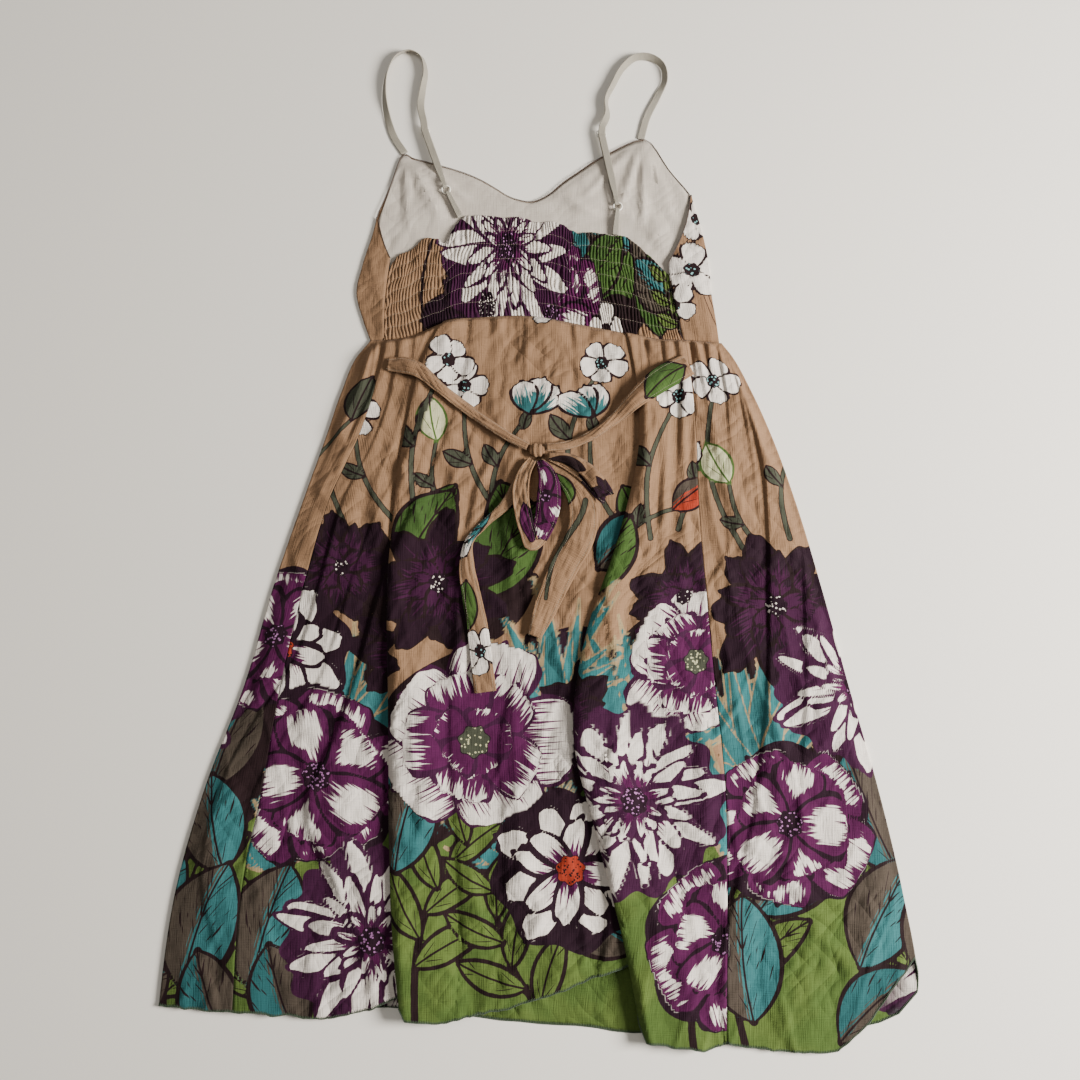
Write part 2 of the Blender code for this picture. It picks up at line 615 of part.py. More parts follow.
def band_mesh(name, path, width, arch, roll, wall, across=4):
    """A flat band swept along a path: its width lies level and square to the path, turned by roll in degrees."""
    path = np.array(path, float)
    along = np.gradient(path, axis=0)
    along /= np.linalg.norm(along, axis=1, keepdims=True)
    outer, inner = [], []
    last = None
    for k, tangent in enumerate(along):
        side = np.array([tangent[1], -tangent[0], 0.0])
        if np.linalg.norm(side) < 0.35 and last is not None:
            side = last - tangent * (last @ tangent)
        elif last is not None and side @ last < 0:
            side = -side
        side /= np.linalg.norm(side)
        last = side
        up = np.cross(side, tangent)
        turn = math.radians(roll[k])
        wide = side * math.cos(turn) + up * math.sin(turn)
        thick = up * math.cos(turn) - side * math.sin(turn)
        row_out, row_in = [], []
        for step in range(across + 1):
            s = 2 * step / across - 1
            place = path[k] + wide * s * width[k] / 2 + thick * arch[k] * (1 - s * s)
            row_out.append(place + thick * wall / 2)
            row_in.append(place - thick * wall / 2)
        outer.append(row_out)
        inner.append(row_in)
    return closed_grid(name, np.array(outer), np.array(inner))


def sash_piece(name, rows, cover, step=9.0):
    """A stretch of the sash, laid over the skirt's highest places beneath it."""
    table = resampled(rows, step)
    middle = []
    for x, y, width, rise in zip(table["x"], table["y"], table["width"], table["rise"]):
        z = cover.height(x, y, width / 2 + 3) + SASH_CLEAR + SASH_WALL / 2 + rise
        middle.append((x, y, z))
    flat = np.zeros(len(middle))
    mesh = band_mesh(name, middle, table["width"], table["arch"], flat, SASH_WALL)
    return add_piece(mesh, "printed_cotton")


def knot_piece(cover):
    """The knot as a pressed round lump over the ends that meet in it."""
    z = cover.height(KNOT.x, KNOT.y, KNOT_LENGTH / 3) + SASH_CLEAR + KNOT_HEIGHT / 2
    bpy.ops.mesh.primitive_uv_sphere_add(segments=20, ring_count=12, radius=0.5 * MM)
    piece = bpy.context.active_object
    mesh = piece.data
    mesh.name = "sash_knot"
    for vertex in mesh.vertices:
        vertex.co.x = vertex.co.x * KNOT_LENGTH + KNOT.x * MM
        vertex.co.y = vertex.co.y * KNOT_WIDTH + KNOT.y * MM
        vertex.co.z = vertex.co.z * KNOT_HEIGHT + z * MM
    bpy.data.objects.remove(piece)
    return add_piece(mesh, "printed_cotton")


def strap_piece(name, rows, hardware):
    """The strap from the front point, round its loop, through the adjuster, round the ring and back to the adjuster."""
    table = resampled(rows, 7.0)
    loop = np.stack([table["x"], table["y"], table["z"]], axis=1)
    slider = np.array([hardware.slider_x, hardware.slider_y, hardware.slider_z])
    ring = np.array([hardware.ring_x, hardware.ring_y, hardware.ring_z])
    heading = ring - slider
    span = np.linalg.norm(heading)
    heading /= span
    clear = RING_WIRE + SEAM_GAP + RIBBON_WALL / 2 + RING_SLACK
    over = slider + np.array([0, 0, SLIDER_BAR / 2 + SEAM_GAP + RIBBON_WALL / 2])
    turn = ring - heading * RING_RADIUS
    path = list(loop) + [over]
    width = list(table["width"]) + [RIBBON_WIDTH - 0.6]
    roll = list(table["roll"]) + [0.0]
    for share in (0.15, 0.4, 0.65, 0.85):
        path.append(over + (turn + [0, 0, clear] - over) * share)
        width.append(RIBBON_WIDTH if share < 0.7 else 6.4)
        roll.append(0.0)
    for step in range(7):
        angle = math.radians(90 - 30 * step)
        path.append(turn + clear * (heading * math.cos(angle) + np.array([0, 0, math.sin(angle)])))
        width.append(RIBBON_AT_RING)
        roll.append(0.0)
    end = slider - np.array([0, 0, SLIDER_BAR / 2 + SEAM_GAP + RIBBON_WALL / 2]) + heading * 1.0
    for share in (0.2, 0.5, 0.8, 1.0):
        path.append(turn - [0, 0, clear] + (end - turn + [0, 0, clear]) * share)
        width.append(6.4 if share < 0.4 else RIBBON_WIDTH)
        roll.append(0.0)
    mesh = band_mesh(name, path, width, np.zeros(len(path)), roll, RIBBON_WALL, across=2)
    return add_piece(mesh, "strap_elastic")


def tab_piece(name, hardware):
    """The short doubled tab that ties a ring to the top of the shirred back."""
    ring = np.array([hardware.ring_x, hardware.ring_y, hardware.ring_z])
    seam = np.array([hardware.seam_x, hardware.seam_y, BACK_LEVEL + 1.6])
    heading = seam - ring
    heading /= np.linalg.norm(heading)
    clear = RING_WIRE + SEAM_GAP + RIBBON_WALL / 2 + RING_SLACK
    turn = ring + heading * RING_RADIUS
    half = RIBBON_WALL / 2 + 0.2
    top, low = seam + [0, 0, half], seam - [0, 0, half]
    path = [top + (turn + [0, 0, clear] - top) * share for share in (0, 0.35, 0.7)]
    for step in range(7):
        angle = math.radians(90 + 30 * step)
        path.append(turn + clear * (heading * math.cos(angle) + np.array([0, 0, math.sin(angle)])))
    path += [low + (turn - [0, 0, clear] - low) * share for share in (0.7, 0.35, 0)]
    width = np.interp(range(len(path)), (0, 3, 9, 12), (6.4, RIBBON_AT_RING, RIBBON_AT_RING, 6.4))
    flat = np.zeros(len(path))
    return add_piece(band_mesh(name, path, width, flat, flat, RIBBON_WALL, across=2), "strap_elastic")


def ring_piece(name, hardware):
    """A round wire ring between the strap and its tab."""
    bpy.ops.mesh.primitive_torus_add(
        major_segments=20, minor_segments=8, major_radius=RING_RADIUS * MM, minor_radius=RING_WIRE * MM
    )
    piece = bpy.context.active_object
    mesh = piece.data
    mesh.name = name
    for vertex in mesh.vertices:
        vertex.co.x += hardware.ring_x * MM
        vertex.co.y += hardware.ring_y * MM
        vertex.co.z += hardware.ring_z * MM
    bpy.data.objects.remove(piece)
    return add_piece(mesh, "coated_metal")


def slider_piece(name, hardware):
    """The adjuster: two rails and three bars, in one frame turned along the strap."""
    heading = math.atan2(hardware.ring_y - hardware.slider_y, hardware.ring_x - hardware.slider_x)
    outline_x, outline_y = SLIDER_LENGTH / 2, SLIDER_WIDTH / 2
    bar = SLIDER_BAR
    marks_x = (-outline_x, -outline_x + bar, -bar / 2, bar / 2, outline_x - bar, outline_x)
    marks_y = (-outline_y, -outline_y + bar, outline_y - bar, outline_y)
    top, base = [], []
    for x in marks_x:
        for y in marks_y:
            far = abs(x) == outline_x and abs(y) == outline_y
            px, py = (x * 0.86, y * 0.88) if far else (x, y)
            turned = (
                hardware.slider_x + px * math.cos(heading) - py * math.sin(heading),
                hardware.slider_y + px * math.sin(heading) + py * math.cos(heading),
            )
            top.append((*turned, hardware.slider_z + bar / 2))
            base.append((*turned, hardware.slider_z - bar / 2))
    rows = len(marks_y)
    holes = {(1, 1), (3, 1)}
    count = len(top)
    cells = [(i, j) for i in range(len(marks_x) - 1) for j in range(rows - 1) if (i, j) not in holes]
    faces, edges = [], {}
    for i, j in cells:
        corners = (i * rows + j, (i + 1) * rows + j, (i + 1) * rows + j + 1, i * rows + j + 1)
        faces.append(corners)
        faces.append(tuple(count + k for k in reversed(corners)))
        for a, b in zip(corners, corners[1:] + corners[:1]):
            edges[(a, b)] = edges.get((a, b), 0) + 1
    for a, b in edges:
        if (b, a) not in edges:
            faces.append((b, a, count + a, count + b))
    mesh = bpy.data.meshes.new(name)
    mesh.from_pydata([[c * MM for c in point] for point in top + base], [], faces)
    if signed_volume(mesh) < 0:
        mesh.flip_normals()
    return add_piece(mesh, "coated_metal")


def centre_on_origin(pieces):
    """Moves every piece's points so that the origin is the middle of the whole box, at its base."""
    corners = np.array([vertex.co[:] for piece in pieces for vertex in piece.data.vertices])
    low, high = corners.min(axis=0), corners.max(axis=0)
    shift = -(low + high) / 2
    shift[2] = -low[2]
    for piece in pieces:
        for vertex in piece.data.vertices:
            vertex.co.x += shift[0]
            vertex.co.y += shift[1]
            vertex.co.z += shift[2]
    print("shift in mm", np.round(shift / MM, 3), "size", np.round((high - low) / MM, 1))


def build_dress():
    for old in list(bpy.data.objects):
        bpy.data.objects.remove(old)
    pieces = [
        add_piece(wall_mesh("skirt_back", skirt_back_grid(BACK_RUNS, SKIRT_ROWS)), "printed_cotton"),
        add_piece(wall_mesh("skirt_front", skirt_front_grid(FRONT_RUNS, FRONT_ROWS)), "printed_cotton"),
        add_piece(wall_mesh("bodice_front", bodice_front_grid(BODICE_ROWS)), "printed_cotton"),
        add_piece(wall_mesh("bodice_lining", lining_grid()), "lining_cotton"),
    ]
    shares = [k / (2 * SHIRR_RIBS) for k in range(2 * SHIRR_RIBS + 1)]
    middle = grid(shirred_point, [(u,) for u in shares], SHIRRED_ROWS)
    ribs = [shirring(u, np.array(SHIRRED_ROWS)) for u in shares]
    pieces.append(add_piece(wall_mesh("bodice_back_shirred", middle, ribs), "printed_cotton"))
    cover = Cover()
    pieces += [
        sash_piece("sash_tie_left", LEFT_TIE, cover),
        sash_piece("sash_tie_right", RIGHT_TIE, cover),
        sash_piece("sash_loop_lower", LOWER_LOOP, cover, 6.0),
        sash_piece("sash_loop_side", SIDE_LOOP, cover, 6.0),
        sash_piece("sash_tail_left", LEFT_TAIL, cover),
        sash_piece("sash_tail_right", RIGHT_TAIL, cover),
        knot_piece(cover),
        strap_piece("strap_left", LEFT_STRAP, LEFT_HARDWARE),
        strap_piece("strap_right", RIGHT_STRAP, RIGHT_HARDWARE),
        tab_piece("strap_tab_left", LEFT_HARDWARE),
        tab_piece("strap_tab_right", RIGHT_HARDWARE),
        ring_piece("strap_ring_left", LEFT_HARDWARE),
        ring_piece("strap_ring_right", RIGHT_HARDWARE),
        slider_piece("strap_adjuster_left", LEFT_HARDWARE),
        slider_piece("strap_adjuster_right", RIGHT_HARDWARE),
    ]
    centre_on_origin(pieces)


build_dress()
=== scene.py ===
# %% [markdown]
# # A printed cotton sundress, laid flat with its back up
# The dress lies face down, so the back of the skirt and a shirred panel are on top, and the front comes
# round both sides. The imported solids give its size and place. This script dresses them: each piece of
# cloth is a fine mesh on the same curves as its solid, and each print, weave and stitch is made here.

# %% Set-up
import math
from collections import namedtuple

import bpy
import numpy as np
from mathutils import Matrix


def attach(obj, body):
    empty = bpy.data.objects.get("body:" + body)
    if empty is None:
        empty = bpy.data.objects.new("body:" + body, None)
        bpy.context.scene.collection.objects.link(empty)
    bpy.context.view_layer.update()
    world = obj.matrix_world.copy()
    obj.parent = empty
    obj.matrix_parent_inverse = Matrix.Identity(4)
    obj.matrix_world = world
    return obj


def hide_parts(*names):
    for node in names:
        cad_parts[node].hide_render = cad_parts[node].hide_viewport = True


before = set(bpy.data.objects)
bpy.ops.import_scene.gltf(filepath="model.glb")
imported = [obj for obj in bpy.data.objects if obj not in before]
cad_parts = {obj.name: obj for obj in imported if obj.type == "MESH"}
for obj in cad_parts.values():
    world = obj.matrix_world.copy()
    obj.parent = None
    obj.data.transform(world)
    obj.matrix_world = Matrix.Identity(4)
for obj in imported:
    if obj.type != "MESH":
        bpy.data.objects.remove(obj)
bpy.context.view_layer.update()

# %% [markdown]
# ## Sizes
# Tables are in millimetres, measured from the point of the skirt that the camera aims at. The packed
# solids have their origin in the middle of the whole box, so one shift takes every point from the tables
# to the frame.

# %% Sizes and levels
MM = 0.001
SHIFT = np.array([0.593, -31.151, 0.0])

CLOTH = 1.0
GAP = 0.3
FRONT_LEVEL = CLOTH / 2
LINING_LEVEL = FRONT_LEVEL + CLOTH + GAP
BACK_LEVEL = LINING_LEVEL + CLOTH + GAP
ROLL_RADIUS = (BACK_LEVEL - FRONT_LEVEL) / 2
FOLD_FALL = 26.0
SHELL = 0.5
PUFF, SKIRT_TOP = 2.6, 230.0

Side = namedtuple("Side", "y out_left seam_left seam_right out_right")
SKIRT_SIDES = (
    Side(-500, -369, -296, 178, 364),
    Side(-440, -367, -295, 180, 367),
    Side(-350, -358, -292, 183, 356),
    Side(-250, -334, -276, 184, 337),
    Side(-150, -300, -262, 177, 313),
    Side(-50, -275, -243, 170, 290),
    Side(40, -248, -220, 165, 267),
    Side(110, -226, -190, 164, 245),
    Side(160, -211, -175, 161, 225),
    Side(200, -195, -168, 156, 205),
    Side(217, -182, -167, 154, 193),
    Side(250, -180, -167, 153, 191),
)
BODICE_SIDES = (
    Side(213, -181, -167.5, 154, 193),
    Side(240, -191, -167.5, 149, 190),
    Side(270, -199, -166.5, 142, 186),
    Side(305, -193, -163, 139, 184),
    Side(345, -182, -160, 139, 177),
    Side(386, -176, -158, 139, 167),
    Side(460, -176, -158, 139, 167),
)
Point = namedtuple("Point", "x y")
WAIST = (
    Point(-200, 217), Point(-167, 217), Point(-140, 221), Point(-100, 238), Point(-60, 243),
    Point(0, 243), Point(35, 236), Point(80, 227), Point(118, 219), Point(154, 217), Point(200, 213),
)
FRONT_WAIST = (Point(-181, 217), Point(192, 213.7))


# %% Curves through the tables
def smooth(rows, value, along="y"):
    """One column of a table as a smooth curve of another, level past its ends."""
    ordered = sorted(rows, key=lambda row: getattr(row, along))
    knots = np.array([getattr(row, along) for row in ordered], float)
    heights = np.array([getattr(row, value) for row in ordered], float)
    slopes = np.gradient(heights, knots)

    def read(where):
        where = np.clip(np.asarray(where, float), knots[0], knots[-1])
        i = np.clip(np.searchsorted(knots, where) - 1, 0, len(knots) - 2)
        step = knots[i + 1] - knots[i]
        t = (where - knots[i]) / step
        rise = heights[i] * (1 + 2 * t) * (1 - t) ** 2 + heights[i + 1] * t * t * (3 - 2 * t)
        return rise + step * t * (1 - t) * (slopes[i] * (1 - t) - slopes[i + 1] * t)

    return read


def ease(t):
    """0 below 0, 1 above 1, and a smooth step between."""
    t = np.clip(t, 0, 1)
    return t * t * (3 - 2 * t)


def stacked(*parts):
    """Numbers and arrays side by side along a new last axis, each stretched to the shape of the largest."""
    return np.stack(np.broadcast_arrays(*parts), axis=-1)


def soft_noise(x, y, seed):
    """Smooth random heights from 0 to 1 that change over about one unit."""
    heights = np.random.default_rng(seed).random((64, 64))
    column, row = np.floor(x).astype(int), np.floor(y).astype(int)
    across, along = ease(x - column), ease(y - row)

    def level(row):
        return heights[column % 64, row % 64] * (1 - across) + heights[(column + 1) % 64, row % 64] * across

    return level(row) * (1 - along) + level(row + 1) * along


class Sides:
    """The outline and the seams at any height on the dress."""

    def __init__(self, rows):
        self.out_left, self.seam_left = smooth(rows, "out_left"), smooth(rows, "seam_left")
        self.out_right, self.seam_right = smooth(rows, "out_right"), smooth(rows, "seam_right")


SKIRT = Sides(SKIRT_SIDES)
BODICE = Sides(BODICE_SIDES)
waist_y = smooth(WAIST, "y", "x")
print("waist at the middle", float(waist_y(0.0)), "mm above the aim point")

# %% [markdown]
# ## Folds and gathers
# Two deep folds run down the back: the cloth goes under its own edge, turns back and turns again. Below the
# waist, pleats lap over each other on long low waves, and both fade towards the hem. Single ridges follow
# the creases that stand out, and a noise with sharp crests gives the small creases of cotton that has been
# worn. They all only lift the cloth, and by the same height at the same place, so layers that lie on each
# other never cross.

# %% The deep folds
Fold = namedtuple("Fold", "y edge under pitch")
LEFT_FOLD = (
    Fold(-500, -129, 46, 2.6),
    Fold(-400, -142, 42, 2.6),
    Fold(-200, -152, 34, 2.6),
    Fold(0, -154, 24, 2.4),
    Fold(120, -141, 14, 2.2),
    Fold(200, -121, 8, 1.7),
    Fold(250, -98, 5, 1.4),
)
RIGHT_FOLD = (
    Fold(-500, 100, 48, 2.8),
    Fold(-400, 81, 46, 2.8),
    Fold(-300, 56, 40, 2.6),
    Fold(-200, 33, 30, 2.6),
    Fold(-100, 46, 18, 2.4),
    Fold(0, 80, 10, 2.2),
    Fold(110, 104, 8, 2.0),
    Fold(200, 97, 6, 1.7),
    Fold(250, 86, 5, 1.4),
)


class DeepFold:
    """A flat fold: the cloth runs under its edge, turns back, turns again, and goes on over the top."""

    def __init__(self, rows):
        self.edge, self.under, self.pitch = (smooth(rows, column) for column in ("edge", "under", "pitch"))

    def outer_turn(self, y):
        return self.edge(y) + (self.pitch(y) + CLOTH) / 2

    def inner_turn(self, y):
        return self.outer_turn(y) + self.under(y)

    def lift(self, x, y):
        return 2 * self.pitch(y) * (1 - ease((x - self.inner_turn(y)) / FOLD_FALL))

    def puff(self, x, y):
        """The cloth swells a little behind the folded edge."""
        past = np.maximum(x - self.outer_turn(y), 0) / 7.0
        return PUFF * past * np.exp(1 - past) * ease((SKIRT_TOP - y) / 90)


LEFT_DEEP = DeepFold(LEFT_FOLD)
RIGHT_DEEP = DeepFold(RIGHT_FOLD)

# %% Gathers and creases
WAIST_EASE = 7.0
EDGE_EASE = 16.0
Gather = namedtuple("Gather", "count height fade start sway")
GATHERS = (Gather(9, 1.7, 230.0, 0.55, 0.60), Gather(4, 1.5, 900.0, 0.15, 0.30))
Ridge = namedtuple("Ridge", "x y toward_x toward_y height width")
SKIRT_RIDGES = (
    Ridge(-114, 212, -160, 92, 4.5, 13), Ridge(-150, 118, -176, -10, 3.0, 13),
    Ridge(4, 246, 24, 186, 4.0, 17), Ridge(32, 178, -6, 112, 3.0, 7), Ridge(60, 205, 92, 120, 2.5, 10),
    Ridge(112, 186, 106, -20, 4.0, 8), Ridge(131, 178, 128, -30, 4.5, 7), Ridge(150, 170, 152, -40, 3.0, 6),
)
Crease = namedtuple("Crease", "height wide long lean sharp seed")
SMALL_CREASES = (
    Crease(3.0, 60, 230, 0.05, 3, 10),
    Crease(2.2, 34, 120, 0.25, 4, 11),
    Crease(1.7, 26, 80, -0.45, 4, 12),
)
PLEATS = (
    Gather(17, 5.2, 110.0, 0.10, 0.50),
    Gather(31, 2.4, 55.0, 0.30, 0.40),
    Gather(9, 5.6, 620.0, 0.35, 0.55),
)
HIGHEST_LIFT = 10.5
STEEP = 4.2
CALM, CALM_LENGTH = 0.62, 260.0


def ridge_height(ridges, x, y):
    """Height of the soft ridges at a place, each one full along its line and gone past its width."""
    height = 0
    for ridge in ridges:
        along = np.array([ridge.toward_x - ridge.x, ridge.toward_y - ridge.y], float)
        length = np.linalg.norm(along)
        along = along / length
        distance = (x - ridge.x) * along[0] + (y - ridge.y) * along[1]
        aside = (x - ridge.x) * along[1] - (y - ridge.y) * along[0]
        ends = ease(distance / (0.3 * length)) * ease((length - distance) / (0.3 * length))
        height = height + ridge.height * ends * ease(1 - np.abs(aside) / ridge.width)
    return height


def creases(x, y, amount=1.0):
    """Height of small sharp-crested creases, in leaning rows of several sizes."""
    height = 0
    for crease in SMALL_CREASES:
        across, along = (x + crease.lean * y) / crease.wide, y / crease.long + crease.seed
        ridged = 1 - np.abs(2 * soft_noise(across, along, crease.seed) - 1)
        height = height + amount * crease.height * ridged**crease.sharp
    return height


def pleats(rows, across, drop, wide):
    """Pleats that lap: each rises sharply, falls slowly, and has its own height and length."""
    height = 0
    for number, row in enumerate(rows):
        turn = row.count * across + row.start + row.sway * np.sin(5.3 * across + drop / 150 + 2 * number)
        turn = turn + 1.3 * (soft_noise(across * row.count / 2.5, drop / 160 + number, 90 + number) - 0.5) + 8
        which = np.floor(turn).astype(int)
        part = turn - which
        tall, long = np.random.default_rng(95 + number).random((2, 64))
        shape = ease(part * wide / (row.count * STEEP)) * ease((1 - part) / 0.85)
        fade = np.exp(-drop / (row.fade * (0.5 + long[which % 64])))
        height = height + row.height * (0.25 + 0.95 * tall[which % 64]) * shape * fade
    return height


def gathers(x, y):
    """Height of gathers and creases on top of the skirt, none at the waist seam and the rolled sides."""
    left, right = SKIRT.seam_left(y), SKIRT.seam_right(y)
    across = (x - left) / (right - left)
    drop = np.maximum(waist_y(x) - y, 0)
    height = 0
    for gather in GATHERS:
        turn = gather.count * across + gather.start
        turn = turn + gather.sway * np.sin(5.3 * across + 2.1 * gather.start + drop / 240)
        wave = 0.5 - 0.5 * np.cos(2 * math.pi * turn)
        height = height + gather.height * wave * np.exp(-drop / gather.fade)
    middle = ease((across - 0.05) / 0.11) * ease((0.90 - across) / 0.13)
    calm = CALM * middle * np.exp(-((drop / CALM_LENGTH) ** 2))
    height = height + (1 - calm) * pleats(PLEATS, across, drop, right - left)
    height = height + (0.7 + 0.5 * calm) * ridge_height(SKIRT_RIDGES, x, y) + (1 + 0.9 * calm) * creases(x, y)
    height = height / (1 + (height / HIGHEST_LIFT) ** 4) ** 0.25
    edge = np.minimum(x - SKIRT.out_left(y), SKIRT.out_right(y) - x)
    return height * ease(drop / WAIST_EASE) * ease((edge - 2 * ROLL_RADIUS) / EDGE_EASE)


print("tallest gather", round(float(gathers(np.linspace(-160, 150, 400), 180.0).max()), 1), "mm")

# %% [markdown]
# ## Where each column of cloth runs
# A panel is a grid: columns across it, rows down it. Each column knows which run of the cloth it is on,
# such as the left of the back or the turn of a fold, and reads its place across from the tables at each
# height.

# %% Hems
Hem = namedtuple("Hem", "run at y")
BACK_HEM = (
    Hem("left", 0.0, -461), Hem("left", 0.45, -468), Hem("left", 0.62, -461), Hem("left", 1.0, -428),
    Hem("left_turn", 0.0, -428), Hem("left_turn", 1.0, -460),
    Hem("middle", 0.0, -467), Hem("middle", 0.12, -472), Hem("middle", 0.35, -459),
    Hem("middle", 0.6, -440), Hem("middle", 0.76, -424), Hem("middle", 1.0, -404),
    Hem("right_turn", 0.0, -404), Hem("right_turn", 1.0, -478),
    Hem("right", 0.0, -488), Hem("right", 0.6, -495), Hem("right", 1.0, -491),
)
FRONT_HEM = (
    Hem("right_wrap", 0.0, -491), Hem("right_wrap", 0.35, -498), Hem("right_wrap", 0.58, -498),
    Hem("right_wrap", 0.72, -476), Hem("right_wrap", 0.88, -436), Hem("right_wrap", 1.0, -414),
    Hem("right_roll", 0.0, -414), Hem("right_roll", 1.0, -446),
    Hem("under", 0.0, -446), Hem("under", 0.03, -468), Hem("under", 0.1, -481), Hem("under", 0.37, -481),
    Hem("under", 0.56, -469), Hem("under", 0.68, -458), Hem("under", 0.8, -460), Hem("under", 1.0, -456),
    Hem("left_roll", 0.0, -456), Hem("left_roll", 1.0, -456),
    Hem("left_wrap", 0.0, -456), Hem("left_wrap", 1.0, -461),
)


def hem_reader(rows, run):
    """How far down one run of cloth comes."""
    own = [row for row in rows if row.run == run]
    return lambda t: np.interp(t, [row.at for row in own], [row.y for row in own])


def waist_under(across, line=waist_y):
    """Height of the waist seam on one column of cloth, whose place across shifts a little with its height."""
    y = line(0.0)
    for _ in range(6):
        y = line(across(y))
    return y


def waist_of(run, across):
    """The waist seam on a run of cloth: one line all over the top, and a straight one beneath the dress."""
    if run != "under":
        return waist_under(across)
    left, right = FRONT_WAIST
    return waist_under(across, lambda x: np.interp(x, (left.x, right.x), (left.y, right.y)))


# %% Runs of the skirt back
def half_turn(x, z, radius, t, start, direction):
    """Points round half a circle in the plane across the dress, from the angle start in degrees."""
    angle = np.radians(start + direction * 180 * t)
    return x + radius * np.cos(angle), z + radius * np.sin(angle)


TURN_SHARES = (0.25, 0.5, 0.25)


def skirt_back_across(run, t, y):
    """Where across, and how high, one run of the back lies at height y on the dress."""
    fold = LEFT_DEEP if run.startswith("left") else RIGHT_DEEP
    pitch = fold.pitch(y)
    inner, outer = fold.inner_turn(y), fold.outer_turn(y)
    if run == "left":
        start = SKIRT.seam_left(y)
        return start + (inner - start) * t, BACK_LEVEL + 0 * y
    if run == "middle":
        start, end = LEFT_DEEP.outer_turn(y), RIGHT_DEEP.inner_turn(y)
        x = start + (end - start) * t
        return x, BACK_LEVEL + LEFT_DEEP.lift(x, y) + LEFT_DEEP.puff(x, y)
    if run == "right":
        end = SKIRT.seam_right(y)
        x = outer + (end - outer) * t
        return x, BACK_LEVEL + RIGHT_DEEP.lift(x, y) + RIGHT_DEEP.puff(x, y)
    first, back, _ = TURN_SHARES
    if t < first:
        return half_turn(inner, BACK_LEVEL + pitch / 2, pitch / 2, t / first, -90, 1)
    if t < first + back:
        return inner + (outer - inner) * (t - first) / back, BACK_LEVEL + pitch
    last = (t - first - back) / (1 - first - back)
    return half_turn(outer, BACK_LEVEL + 1.5 * pitch, pitch / 2, last, -90, -1)


def front_across(sides, run, t, y):
    """Where across, and how high, a run of a front lies: a wrap on top, a rolled side or the underside."""
    middle = FRONT_LEVEL + ROLL_RADIUS
    right = sides.out_right(y) - CLOTH / 2 - ROLL_RADIUS
    left = sides.out_left(y) + CLOTH / 2 + ROLL_RADIUS
    if run == "right_wrap":
        start = sides.seam_right(y)
        return start + (right - start) * t, BACK_LEVEL + 0 * y
    if run == "right_roll":
        return half_turn(right, middle, ROLL_RADIUS, t, 90, -1)
    if run == "under":
        return right + (left - right) * t, FRONT_LEVEL + 0 * y
    if run == "left_roll":
        return half_turn(left, middle, ROLL_RADIUS, t, -90, -1)
    end = sides.seam_left(y)
    return left + (end - left) * t, BACK_LEVEL + 0 * y


# %% A panel as a grid of points
class Panel:
    """A grid of points in millimetres, columns across and rows along, and their places on the flat cloth."""

    def __init__(self, points, flat):
        self.points, self.flat = np.array(points, float), np.array(flat, float)

    def area(self):
        """Area of the grid in square metres."""
        p = self.points
        one = p[1:, 1:] - p[:-1, :-1]
        two = p[:-1, 1:] - p[1:, :-1]
        return float(np.linalg.norm(np.cross(one, two), axis=-1).sum() / 2 * MM * MM)


def run_columns(runs):
    """(run, t) of each column of a panel that is made of several runs, sharing the column where two meet."""
    columns = []
    for number, (run, count) in enumerate(runs):
        first = 0 if number == 0 else 1
        columns += [(run, k / count) for k in range(first, count + 1)]
    return columns


def hem_wobble(x):
    """How far a hem strays from its line, in small uneven scallops."""
    wide, narrow = soft_noise(x / 16.0, 0 * x + 0.5, 31), soft_noise(x / 6.0, 0 * x + 0.5, 32)
    return 3.0 * (wide - 0.5) + 2.0 * (narrow - 0.5)


def skirt_panel(columns, across, hem_rows, lifted):
    """Grid of a skirt panel from waist seam to hem, and where its cloth runs without its gathers."""
    points, base = [], []
    for run, t in columns:
        top = waist_of(run, lambda y: across(run, t, y)[0])
        low = hem_reader(hem_rows, run)(t)
        low = low + hem_wobble(across(run, t, low)[0])
        y = top + (low - top) * SKIRT_ROWS
        x, z = across(run, t, y)
        lift = gathers(x, y) if lifted(run) else 0 * y
        points.append(stacked(x, y, z + lift))
        base.append(stacked(x, z))
    return np.array(points), np.array(base)


def along_columns(base, middle):
    """Length of cloth from the middle column to each point, in each row."""
    steps = np.linalg.norm(np.diff(base, axis=0), axis=-1)
    length = np.concatenate([np.zeros((1, base.shape[1])), np.cumsum(steps, axis=0)])
    return length - length[middle] + base[middle, :, 0]


def from_both_seams(base, right_cut, left_cut):
    """Places across a front on the plane of print, measured from each seam to the middle of the underside."""
    length = along_columns(base, 0) - base[0, :, 0]
    half = np.arange(len(base))[:, None] < len(base) // 2
    return np.where(half, right_cut + length, left_cut - (length[-1] - length))


# %% [markdown]
# ## From a grid to a thin shell
# Real voile is a fifth of a millimetre thick. Each panel is a closed shell of half a millimetre: a fine
# outside, an inside with half as many points each way, because it hardly shows, and a rim that joins them.
# The print's distances are kept on the points, so more points on the outside mean sharper shapes.

# %% Shell builder
def grid_normals(points):
    """Unit normals of a grid of points."""
    normal = np.cross(np.gradient(points, axis=0), np.gradient(points, axis=1))
    return normal / np.maximum(np.linalg.norm(normal, axis=-1, keepdims=True), 1e-9)


def smooth_mesh(name, points, faces, edges=()):
    """A smooth mesh through points in the tables' millimetres."""
    mesh = bpy.data.meshes.new(name)
    mesh.from_pydata(((np.array(points) + SHIFT) * MM).tolist(), edges, faces)
    mesh.update()
    mesh.shade_smooth()
    return mesh


